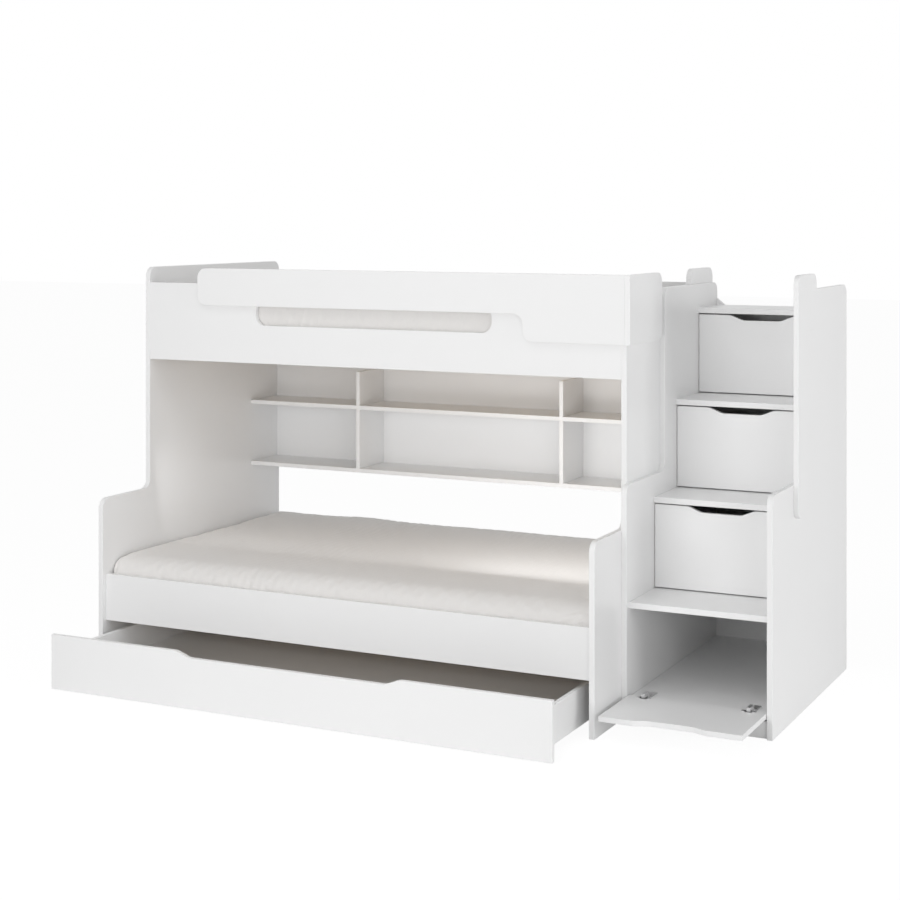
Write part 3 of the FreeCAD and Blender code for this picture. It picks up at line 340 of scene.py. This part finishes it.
@dataclass(frozen=True)
class CastorRubber:
    """Dark moulded rubber with a dusty sheen."""

    colour: Colour = (0.05, 0.05, 0.055)

    def make(self) -> bpy.types.Material:
        """Build the material.

        Returns:
            The finished material.
        """
        graph = Graph("castor_rubber")
        where = graph.add("ShaderNodeTexCoord", {}, {}).outputs["Object"]
        dust = graph.noise(where, 120.0, 4.0, 0.6)
        grit = graph.noise(where, 1800.0, 2.0)
        return graph.close(
            {
                "Base Color": graph.mix(dust, colour4(self.colour), colour4(self.colour, 2.2)),
                "Roughness": dust * 0.2 + 0.5,
                "Normal": graph.bump(grit, 0.00005),
            }
        )


@dataclass(frozen=True)
class CottonCover:
    """Closely woven cotton: crossing threads on the cover's own flat map, and soft mottling."""

    colour: Colour = (0.84, 0.823, 0.806)
    threads_per_metre: float = 620.0
    thread_height: float = 0.00012

    def make(self) -> bpy.types.Material:
        """Build the material.

        Returns:
            The finished material.
        """
        graph = Graph("cotton_cover")
        flat = graph.add("ShaderNodeUVMap", {"uv_map": FLAT_MAP}, {}).outputs["UV"]
        threads = []
        for direction in ("X", "Y"):
            wave = graph.add(
                "ShaderNodeTexWave",
                {"bands_direction": direction},
                {"Vector": flat, "Scale": self.threads_per_metre * math.pi / 10, "Distortion": 0.4},
            )
            threads.append(Wire(graph, wave.outputs["Fac"]))
        weave = threads[0] * 0.5 + threads[1] * 0.5
        slub = graph.noise(flat, 55.0, 4.0, 0.6)
        cloud = graph.noise(flat, 3.0, 3.0)
        shade = weave * 0.35 + slub * 0.35 + cloud * 0.3
        creased = graph.bump(graph.noise(flat, 16.0, 5.0, 0.55), 0.0008)
        return graph.close(
            {
                "Base Color": graph.mix(shade, colour4(self.colour, 0.93), colour4(self.colour, 1.05)),
                "Roughness": slub * 0.1 + 0.82,
                "Sheen Weight": 0.25,
                "Sheen Roughness": 0.5,
                "Normal": graph.bump(weave, self.thread_height, creased),
            }
        )


# Meshes


def mesh_piece(
    name: str, points: np.ndarray, faces: np.ndarray, flat: np.ndarray | None = None
) -> bpy.types.Object:
    """Make a smooth-shaded object from arrays.

    Args:
        name: the piece's name.
        points: n rows of x, y and z.
        faces: m rows of four point numbers.
        flat: one row of u and v for each face corner, if the piece carries a flat map.

    Returns:
        The object, standing at the origin.
    """
    mesh = bpy.data.meshes.new(name)
    mesh.from_pydata(points.tolist(), [], faces.tolist())
    mesh.polygons.foreach_set("use_smooth", np.ones(len(faces), bool))
    if flat is not None:
        layer = mesh.uv_layers.new(name=FLAT_MAP)
        layer.data.foreach_set("uv", flat.astype(np.float32).ravel())
    mesh.update()
    piece = bpy.data.objects.new(name, mesh)
    bpy.context.scene.collection.objects.link(piece)
    return piece


def graded(low: float, high: float, band: float, fine: float, coarse: float) -> np.ndarray:
    """Grid lines that stand close together near both ends and further apart between.

    Args:
        low: the first line.
        high: the last line.
        band: the width of the fine zone at each end.
        fine: the spacing in the fine zones.
        coarse: the spacing between them.

    Returns:
        The lines' positions in rising order.
    """
    near = np.linspace(0.0, band, round(band / fine) + 1)
    middle = np.linspace(low + band, high - band, round((high - low - 2 * band) / coarse) + 1)
    return np.concatenate([low + near, middle[1:-1], high - near[::-1]])


def block_skin(lines: list[np.ndarray]) -> tuple[np.ndarray, np.ndarray]:
    """The closed skin of a block, cut along the given grid lines of each axis.

    Each of the six sides is a grid of its own, and points that fall together are merged.

    Args:
        lines: the grid lines along x, y and z.

    Returns:
        Points and faces.
    """
    grids, corners = [], []
    total = 0
    for axis in range(3):
        first, second = [a for a in range(3) if a != axis]
        across, up = len(lines[first]), len(lines[second])
        u, v = np.meshgrid(np.arange(across), np.arange(up), indexing="ij")
        for far in (0, 1):
            cells = np.zeros((u.size, 3), int)
            cells[:, first] = u.ravel()
            cells[:, second] = v.ravel()
            cells[:, axis] = (len(lines[axis]) - 1) * far
            index = np.arange(u.size).reshape(u.shape) + total
            around = [index[:-1, :-1], index[1:, :-1], index[1:, 1:], index[:-1, 1:]]
            quads = np.stack(around, -1).reshape(-1, 4)
            outward = (far == 1) != (axis == 1)
            corners.append(quads if outward else quads[:, ::-1])
            grids.append(cells)
            total += u.size
    unique, inverse = np.unique(np.concatenate(grids), axis=0, return_inverse=True)
    points = np.stack([lines[axis][unique[:, axis]] for axis in range(3)], -1)
    return points, inverse.ravel()[np.concatenate(corners)]


def flat_map(points: np.ndarray, low: np.ndarray, high: np.ndarray) -> np.ndarray:
    """Unfold a block's top and sides about the top's four edges, and set its underside apart.

    A point on a side lies as far outside the top's outline as it lies below the top.

    Args:
        points: points on the block's skin.
        low: the block's lowest corner.
        high: its highest corner.

    Returns:
        One u and v for each point, in metres.
    """
    flat = points[:, :2].copy()
    drop = high[2] - points[:, 2]
    for axis in (0, 1):
        flat[:, axis] -= np.where(points[:, axis] <= low[axis], drop, 0.0)
        flat[:, axis] += np.where(points[:, axis] >= high[axis], drop, 0.0)
    within = np.all((points[:, :2] > low[:2]) & (points[:, :2] < high[:2]), axis=1)
    under = (points[:, 2] <= low[2]) & within
    flat[under, 1] += (high - low)[1] + 1.0
    return flat


def round_block(points: np.ndarray, low: np.ndarray, high: np.ndarray, radius: float) -> np.ndarray:
    """Round a block's edges: each point is pulled to a sphere of the radius about an inner block.

    Args:
        points: points on the block's skin.
        low: the block's lowest corner.
        high: its highest corner.
        radius: the edge radius.

    Returns:
        The moved points.
    """
    inner = np.clip(points, low + radius, high - radius)
    away = points - inner
    length = np.linalg.norm(away, axis=1, keepdims=True)
    return inner + away / np.maximum(length, 1e-9) * radius


def roll_front(points: np.ndarray, low: np.ndarray, high: np.ndarray, radius: float) -> np.ndarray:
    """Roll the upper front edge over: points outside a long cylinder under it are drawn onto it.

    Args:
        points: points on the rounded skin.
        low: the block's lowest corner.
        high: its highest corner.
        radius: the cylinder's radius.

    Returns:
        The moved points.
    """
    axis = np.array([low[1] + radius, high[2] - radius])
    away = points[:, 1:] - axis
    corner = (away[:, 0] < 0) & (away[:, 1] > 0)
    length = np.linalg.norm(away, axis=1)
    pull = np.where(corner, np.minimum(1.0, radius / np.maximum(length, 1e-9)), 1.0)
    moved = points.copy()
    moved[:, 1:] = axis + away * pull[:, None]
    return moved


def soft_limit(points: np.ndarray, low: np.ndarray, high: np.ndarray, room: float) -> np.ndarray:
    """Hold points inside a block without flattening them: over + room * (1 - exp(-d / room)).

    Args:
        points: any points.
        low: the block's lowest corner.
        high: its highest corner.
        room: how far beyond the block a point may come at most.

    Returns:
        The moved points.
    """
    beyond = np.maximum(points - high, 0.0)
    short = np.maximum(low - points, 0.0)
    inside = np.clip(points, low, high)
    return inside + room * (1 - np.exp(-beyond / room)) - room * (1 - np.exp(-short / room))


def smooth_step(value: np.ndarray, start: float, end: float) -> np.ndarray:
    """Rise from 0 at start to 1 at end along the curve 3t^2 - 2t^3."""
    share = np.clip((value - start) / (end - start), 0.0, 1.0)
    return share * share * (3 - 2 * share)


@dataclass(frozen=True)
class Crease:
    """A straight fold, given on the cover's flat map by its two ends."""

    start: tuple[float, float]
    end: tuple[float, float]
    width: float
    height: float

    def lift(self, flat: np.ndarray) -> np.ndarray:
        """How far each point is raised: height * exp(-(d / width)^2), tapered at both ends.

        Args:
            flat: the points' flat coordinates.

        Returns:
            One distance for each point along its normal.
        """
        start, end = np.array(self.start), np.array(self.end)
        run = end - start
        share = np.clip((flat - start) @ run / (run @ run), 0.0, 1.0)
        away = np.linalg.norm(flat - (start + share[:, None] * run), axis=1)
        taper = 0.35 + 0.65 * np.sin(np.pi * share)
        return self.height * taper * np.exp(-((away / self.width) ** 2))


@dataclass
class Mattress:
    """A foam mattress in a loose cotton cover, gathered where the cover turns over the edge."""

    level: str
    material: bpy.types.Material
    front_radius: float
    creases: list[Crease]
    gathers: tuple[float, float]
    cell: float = 0.009
    coarse_cell: float = 0.034
    edge_radius: float = 0.028
    rim: float = 0.15
    inset: float = 0.0025
    room: float = 0.004
    side_rows: int = 18
    loose_wave: float = 0.0003
    gathered_wave: float = 0.0007
    loose_growth: float = 0.006
    gathered_growth: float = 0.04
    pressure: float = 0.5
    gather_fade: float = 0.08
    weight_steps: int = 20
    frames: int = 16
    flat: np.ndarray = field(init=False)

    def build(self) -> bpy.types.Object:
        """Returns:
            The finished piece.
        """
        node = f"{self.level}_mattress"
        low, high = (np.array(corner, float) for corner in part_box(node))
        inner_low, inner_high = low + self.inset, high - self.inset
        lines = [
            np.linspace(inner_low[0], inner_high[0], round((inner_high - inner_low)[0] / self.cell) + 1),
            graded(inner_low[1], inner_high[1], self.rim, self.cell, self.coarse_cell),
            np.linspace(inner_low[2], inner_high[2], self.side_rows),
        ]
        points, faces = block_skin(lines)
        self.flat = flat_map(points, inner_low, inner_high)
        points = round_block(points, inner_low, inner_high, self.edge_radius)
        points = roll_front(points, inner_low, inner_high, self.front_radius)
        piece = mesh_piece(f"{self.level}_mattress_cover", points, faces, self.flat[faces.ravel()])
        self.unsettle(piece)
        self.buckle(piece, inner_low, inner_high)
        self.crease(piece)
        write_points(piece, soft_limit(read_points(piece), low, high, self.room))
        smoother = piece.modifiers.new("smoother", "SUBSURF")
        smoother.levels = 1
        smoother.render_levels = 1
        piece.data.materials.append(self.material)
        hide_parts(node)
        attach(piece, Bodies.BED.value)
        log.info("%s: %d points", piece.name, len(points))
        return piece

    def unsettle(self, piece: bpy.types.Object) -> None:
        """Seed the buckling with low crossing waves, strongest where the cover gathers.

        The height is sin(190u + 3 sin(11v)) + 0.6 sin(83u + 61v + 1.3), times a small amplitude.

        Args:
            piece: the cover, whose points move along their normals.
        """
        u, v = self.flat[:, 0], self.flat[:, 1]
        wave = np.sin(u * 190.0 + 3.0 * np.sin(v * 11.0)) + 0.6 * np.sin(u * 83.0 + v * 61.0 + 1.3)
        lift = wave * (self.loose_wave + self.gathered_wave * self.gathering())
        write_points(piece, read_points(piece) + read_normals(piece) * lift[:, None])

    def gathering(self) -> np.ndarray:
        """How strongly the cover is gathered: a plateau along the bed with soft ends.

        Returns:
            One value from 0 to 1 for each point.
        """
        u = self.flat[:, 0]
        start, end = self.gathers
        rising = smooth_step(u, start, start + self.gather_fade)
        return rising * (1 - smooth_step(u, end - self.gather_fade, end))

    def buckle(self, piece: bpy.types.Object, low: np.ndarray, high: np.ndarray) -> None:
        """Let the cover, cut a little too large, buckle along its rim under slight pressure.

        The middle of the top and the whole underside are held, as the foam and the slats hold them.

        Args:
            piece: the cover.
            low: the lowest corner of the block that the cover was cut for.
            high: its highest corner.
        """
        points = read_points(piece)
        edge = np.minimum(points[:, :2] - low[:2], high[:2] - points[:, :2]).min(axis=1)
        above = smooth_step(points[:, 2], low[2], low[2] + (high - low)[2] * 0.4)
        held = smooth_step(edge, self.rim * 0.4, self.rim * 1.2) * above + (1 - above)
        self.weigh(piece, "held", held)
        self.weigh(piece, "gathered", self.gathering())
        cloth = piece.modifiers.new("cloth", "CLOTH")
        settings = cloth.settings
        settings.quality = 4
        settings.mass = 0.2
        settings.tension_stiffness = 20.0
        settings.compression_stiffness = 20.0
        settings.shear_stiffness = 5.0
        settings.bending_stiffness = 0.12
        settings.vertex_group_shrink = "gathered"
        settings.shrink_min = -self.loose_growth
        settings.shrink_max = -self.gathered_growth
        settings.use_pressure = True
        settings.uniform_pressure_force = self.pressure
        settings.vertex_group_mass = "held"
        settings.pin_stiffness = 3.0
        settings.effector_weights.gravity = 0.0
        scene = bpy.context.scene
        scene.frame_start = 1
        scene.frame_end = self.frames
        cloth.point_cache.frame_start = 1
        cloth.point_cache.frame_end = self.frames
        for number in range(1, self.frames + 1):
            scene.frame_set(number)
        settled = piece.evaluated_get(bpy.context.evaluated_depsgraph_get()).to_mesh()
        moved = np.zeros(len(settled.vertices) * 3)
        settled.vertices.foreach_get("co", moved)
        piece.modifiers.remove(cloth)
        write_points(piece, moved.reshape(-1, 3))
        scene.frame_set(1)

    def weigh(self, piece: bpy.types.Object, name: str, weights: np.ndarray) -> None:
        """Store weights in a vertex group, rounded to a few even steps.

        Args:
            piece: the cover.
            name: the new group's name.
            weights: one value from 0 to 1 for each point.
        """
        group = piece.vertex_groups.new(name=name)
        steps = np.round(weights * self.weight_steps)
        for step in np.unique(steps[steps > 0]):
            members = np.nonzero(steps == step)[0].tolist()
            group.add(members, float(step) / self.weight_steps, "REPLACE")

    def crease(self, piece: bpy.types.Object) -> None:
        """Press the named creases into the cover along its normals."""
        lift = sum(crease.lift(self.flat) for crease in self.creases)
        write_points(piece, read_points(piece) + read_normals(piece) * lift[:, None])


def read_points(piece: bpy.types.Object) -> np.ndarray:
    """The mesh's points as rows of x, y and z."""
    points = np.zeros(len(piece.data.vertices) * 3)
    piece.data.vertices.foreach_get("co", points)
    return points.reshape(-1, 3)


def read_normals(piece: bpy.types.Object) -> np.ndarray:
    """The mesh's vertex normals as rows."""
    normals = np.zeros(len(piece.data.vertices) * 3)
    piece.data.vertices.foreach_get("normal", normals)
    return normals.reshape(-1, 3)


def write_points(piece: bpy.types.Object, points: np.ndarray) -> None:
    """Move the mesh's points."""
    piece.data.vertices.foreach_set("co", points.ravel())
    piece.data.update()


# The bed's own boards and fittings

WELD_DISTANCE = 0.00001
SHARP_ANGLE = math.radians(32)


def soft_edges() -> bpy.types.NodeTree:
    """A modifier group that joins loose triangles and shades them smooth up to a sharp angle.

    Returns:
        The geometry node group.
    """
    tree = bpy.data.node_groups.new("soft_edges", "GeometryNodeTree")
    tree.interface.new_socket("Geometry", in_out="INPUT", socket_type="NodeSocketGeometry")
    tree.interface.new_socket("Geometry", in_out="OUTPUT", socket_type="NodeSocketGeometry")
    start = tree.nodes.new("NodeGroupInput")
    end = tree.nodes.new("NodeGroupOutput")
    weld = tree.nodes.new("GeometryNodeMergeByDistance")
    weld.inputs["Distance"].default_value = WELD_DISTANCE
    faces = tree.nodes.new("GeometryNodeSetShadeSmooth")
    edges = tree.nodes.new("GeometryNodeSetShadeSmooth")
    edges.domain = "EDGE"
    angle = tree.nodes.new("GeometryNodeInputMeshEdgeAngle")
    sharp = tree.nodes.new("FunctionNodeCompare")
    sharp.operation = "GREATER_THAN"
    sharp.inputs["B"].default_value = SHARP_ANGLE
    edges.inputs["Shade Smooth"].default_value = False
    tree.links.new(start.outputs[0], weld.inputs["Geometry"])
    tree.links.new(weld.outputs["Geometry"], faces.inputs["Geometry"])
    tree.links.new(faces.outputs["Geometry"], edges.inputs["Geometry"])
    tree.links.new(angle.outputs["Unsigned Angle"], sharp.inputs["A"])
    tree.links.new(sharp.outputs["Result"], edges.inputs["Selection"])
    tree.links.new(edges.outputs["Geometry"], end.inputs[0])
    return tree


@dataclass
class Carcass:
    """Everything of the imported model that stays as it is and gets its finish."""

    lacquer: bpy.types.Material
    slat_wood: bpy.types.Material
    ledger_wood: bpy.types.Material
    steel: bpy.types.Material
    rubber: bpy.types.Material
    shading: bpy.types.NodeTree = field(default_factory=soft_edges)

    def dress(self) -> None:
        """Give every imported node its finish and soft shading."""
        slots = {entry["node"]: entry["material_slot"] for entry in frame["record"]["subparts"]}
        for name, node in frame["nodes"].items():
            material = self.finish_of(name, slots[name])
            node.data.materials.clear()
            node.data.materials.append(material)
            group = node.modifiers.new("soft_edges", "NODES")
            group.node_group = self.shading
            weights = node.modifiers.new("weights", "WEIGHTED_NORMAL")
            weights.keep_sharp = True
            weights.weight = 50
        log.info("dressed %d packed nodes", len(frame["nodes"]))

    def finish_of(self, name: str, slot: str) -> bpy.types.Material:
        """Choose a node's material by its slot, and for wood by the way its grain runs.

        Args:
            name: the node's name.
            slot: the record's material slot.

        Returns:
            The material.
        """
        if slot == Slots.WOOD.value:
            return self.slat_wood if name.endswith("slats") else self.ledger_wood
        return {
            Slots.BOARD.value: self.lacquer,
            Slots.COVER.value: self.lacquer,
            Slots.STEEL.value: self.steel,
            Slots.RUBBER.value: self.rubber,
        }[slot]


# Studio


@dataclass(frozen=True)
class Lamp:
    """A soft rectangular lamp that neither the camera nor a mirror sees."""

    name: str
    place: tuple[float, float, float]
    target: tuple[float, float, float]
    size: tuple[float, float]
    power: float

    def hang(self) -> None:
        """Add the lamp to the scene."""
        data = bpy.data.lights.new(self.name, "AREA")
        data.shape = "RECTANGLE"
        data.size, data.size_y = self.size
        data.energy = self.power
        lamp = bpy.data.objects.new(self.name, data)
        lamp.location = self.place
        aim = Vector(self.target) - Vector(self.place)
        lamp.rotation_euler = aim.to_track_quat("-Z", "Y").to_euler()
        lamp.visible_camera = False
        lamp.visible_glossy = False
        bpy.context.scene.collection.objects.link(lamp)


@dataclass
class Studio:
    """Camera, lamps and the plain pale surroundings."""

    eye: tuple[float, float, float] = (2.89617, -5.94128, 1.75408)
    turn: float = 0.457778
    sensor_mm: float = 36.0
    focal_px: float = 1753.863
    image_px: float = 900.0
    horizon_px: float = 213.686
    ambient: float = 0.42
    floor_paper: Colour = (0.9, 0.9, 0.9)
    floor_glow: float = 1.06
    floor_glow_share: float = 0.88
    floor_span: float = 60.0
    lamps: tuple[Lamp, ...] = (
        Lamp("front_right", (5.5, -6.0, 2.0), (0.0, 0.0, 0.8), (3.0, 3.0), 62.0),
        Lamp("right", (7.5, -1.0, 1.8), (0.0, 0.0, 0.8), (3.0, 3.0), 108.0),
        Lamp("high_front", (-0.4, -3.5, 5.5), (0.3, -0.5, 0.3), (3.0, 3.0), 50.0),
        Lamp("front", (-0.2, -4.8, 1.55), (-0.28, -0.2, 0.6), (3.0, 0.8), 55.0),
        Lamp("shelf", (-0.28, -0.15, 0.66), (-0.28, 0.78, 0.8), (1.9, 0.25), 0.7),
        Lamp("shelf_end", (0.36, -0.15, 0.7), (0.36, 0.78, 0.85), (0.6, 0.25), 1.6),
    )

    def place_camera(self) -> None:
        """Stand a level camera with a rising front, so that upright edges stay upright."""
        data = bpy.data.cameras.new("camera")
        data.sensor_width = self.sensor_mm
        data.lens = self.sensor_mm * self.focal_px / self.image_px
        data.shift_y = (self.horizon_px - self.image_px / 2) / self.image_px
        camera = bpy.data.objects.new("camera", data)
        camera.location = self.eye
        camera.rotation_euler = (math.pi / 2, 0.0, self.turn)
        bpy.context.scene.collection.objects.link(camera)
        bpy.context.scene.camera = camera

    def light_world(self) -> None:
        """Fill from all round, seen by the camera and by reflections as plain white."""
        world = bpy.data.worlds.new("world")
        bpy.context.scene.world = world
        world.use_nodes = True
        tree = world.node_tree
        tree.nodes.clear()
        path = tree.nodes.new("ShaderNodeLightPath")
        seen = tree.nodes.new("ShaderNodeMath")
        seen.operation = "MAXIMUM"
        tree.links.new(path.outputs["Is Camera Ray"], seen.inputs[0])
        tree.links.new(path.outputs["Is Glossy Ray"], seen.inputs[1])
        strength = tree.nodes.new("ShaderNodeMapRange")
        tree.links.new(seen.outputs[0], strength.inputs["Value"])
        strength.inputs["To Min"].default_value = self.ambient
        strength.inputs["To Max"].default_value = 1.0
        glow = tree.nodes.new("ShaderNodeBackground")
        glow.inputs["Color"].default_value = (1.0, 1.0, 1.0, 1.0)
        tree.links.new(strength.outputs[0], glow.inputs["Strength"])
        output = tree.nodes.new("ShaderNodeOutputWorld")
        tree.links.new(glow.outputs[0], output.inputs[0])

    def lay_floor(self) -> None:
        """Lay a wide white floor that the camera sees as white apart from a soft shadow."""
        half = self.floor_span / 2
        corners = np.array([[-half, -half, 0], [half, -half, 0], [half, half, 0], [-half, half, 0]])
        floor = mesh_piece("floor", corners, np.array([[0, 1, 2, 3]]))
        graph = Graph("floor_paper")
        path = graph.add("ShaderNodeLightPath", {}, {})
        seen = graph.add(
            "ShaderNodeMath",
            {"operation": "MAXIMUM"},
            {0: path.outputs["Is Camera Ray"], 1: path.outputs["Is Glossy Ray"]},
        )
        share = Wire(graph, seen.outputs[0]) * self.floor_glow_share
        paper = graph.add("ShaderNodeBsdfDiffuse", {}, {"Color": colour4(self.floor_paper)})
        glow = graph.add("ShaderNodeEmission", {}, {"Color": (1, 1, 1, 1), "Strength": self.floor_glow})
        both = graph.add(
            "ShaderNodeMixShader", {}, {0: share, 1: paper.outputs[0], 2: glow.outputs[0]}
        )
        graph.tree.links.new(both.outputs[0], graph.output.inputs[0])
        floor.data.materials.append(graph.material)

    def build(self) -> None:
        """Set up the whole studio."""
        bpy.context.scene.view_settings.view_transform = "Standard"
        self.place_camera()
        self.light_world()
        self.lay_floor()
        for lamp in self.lamps:
            lamp.hang()
        log.info("studio ready")


def lower_mattress(cover: bpy.types.Material) -> Mattress:
    """The wide mattress, with gathers left of the middle and a tuck at each front corner.

    Args:
        cover: the cover's material.

    Returns:
        The mattress, ready to build.
    """
    low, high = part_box("lower_mattress")
    left, right, front, back = low.x, high.x, low.y, high.y
    gathers = [
        Crease(
            (left + 0.47 + 0.043 * step + 0.01 * math.sin(step * 2.3), front - 0.065),
            (left + 0.48 + 0.043 * step + 0.012 * math.sin(step * 1.7), front + 0.02),
            0.0055,
            0.0016 + 0.0008 * math.sin(step * 4.1),
        )
        for step in range(7)
    ]
    corners = [
        Crease((left + 0.012, front - 0.07), (left + 0.016, front - 0.005), 0.006, -0.009),
        Crease((left + 0.03, front - 0.075), (left + 0.026, front + 0.02), 0.009, 0.003),
        Crease((right - 0.14, front - 0.062), (right - 0.055, front - 0.002), 0.009, 0.004),
        Crease((right - 0.115, front - 0.066), (right - 0.04, front - 0.02), 0.008, -0.005),
        Crease((right - 0.047, front - 0.064), (right - 0.043, front - 0.048), 0.006, -0.014),
        Crease((right - 0.03, front - 0.03), (right - 0.004, front + 0.03), 0.01, -0.004),
    ]
    swell = [
        Crease((left + 0.36, back), (left + 0.6, back), 0.05, 0.008),
        Crease((left + 0.95, back), (left + 1.3, back), 0.05, 0.002),
    ]
    return Mattress("lower", cover, 0.1, gathers + corners + swell, (left + 0.48, left + 0.84))


def upper_mattress(cover: bpy.types.Material) -> Mattress:
    """The narrow mattress, with the folds that show through the long slot.

    Args:
        cover: the cover's material.

    Returns:
        The mattress, ready to build.
    """
    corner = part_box("upper_mattress")[0]
    left, front = corner.x, corner.y
    folds = [
        Crease((left + 0.605, front - 0.14), (left + 0.61, front - 0.015), 0.006, 0.0022),
        Crease((left + 0.675, front - 0.14), (left + 0.72, front - 0.01), 0.007, 0.003),
        Crease((left + 0.75, front - 0.13), (left + 0.79, front - 0.02), 0.008, 0.0016),
        Crease((left + 1.36, front - 0.135), (left + 1.43, front - 0.02), 0.012, 0.002),
        Crease((left + 1.45, front - 0.14), (left + 1.5, front - 0.02), 0.009, 0.003),
    ]
    return Mattress("upper", cover, 0.04, folds, (left + 0.54, left + 0.84))


def main() -> None:
    """Build every part of the scene in order."""
    logging.basicConfig(level=logging.INFO, format="%(name)s: %(message)s")
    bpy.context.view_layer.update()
    Studio().build()
    carcass = Carcass(
        lacquer=WhiteLacquer().make(),
        slat_wood=SpruceSlat("spruce_slats", along=1).make(),
        ledger_wood=SpruceSlat("spruce_ledgers", along=0).make(),
        steel=NickelSteel().make(),
        rubber=CastorRubber().make(),
    )
    carcass.dress()
    cover = CottonCover().make()
    lower_mattress(cover).build()
    upper_mattress(cover).build()


if __name__ == "__main__":
    main()
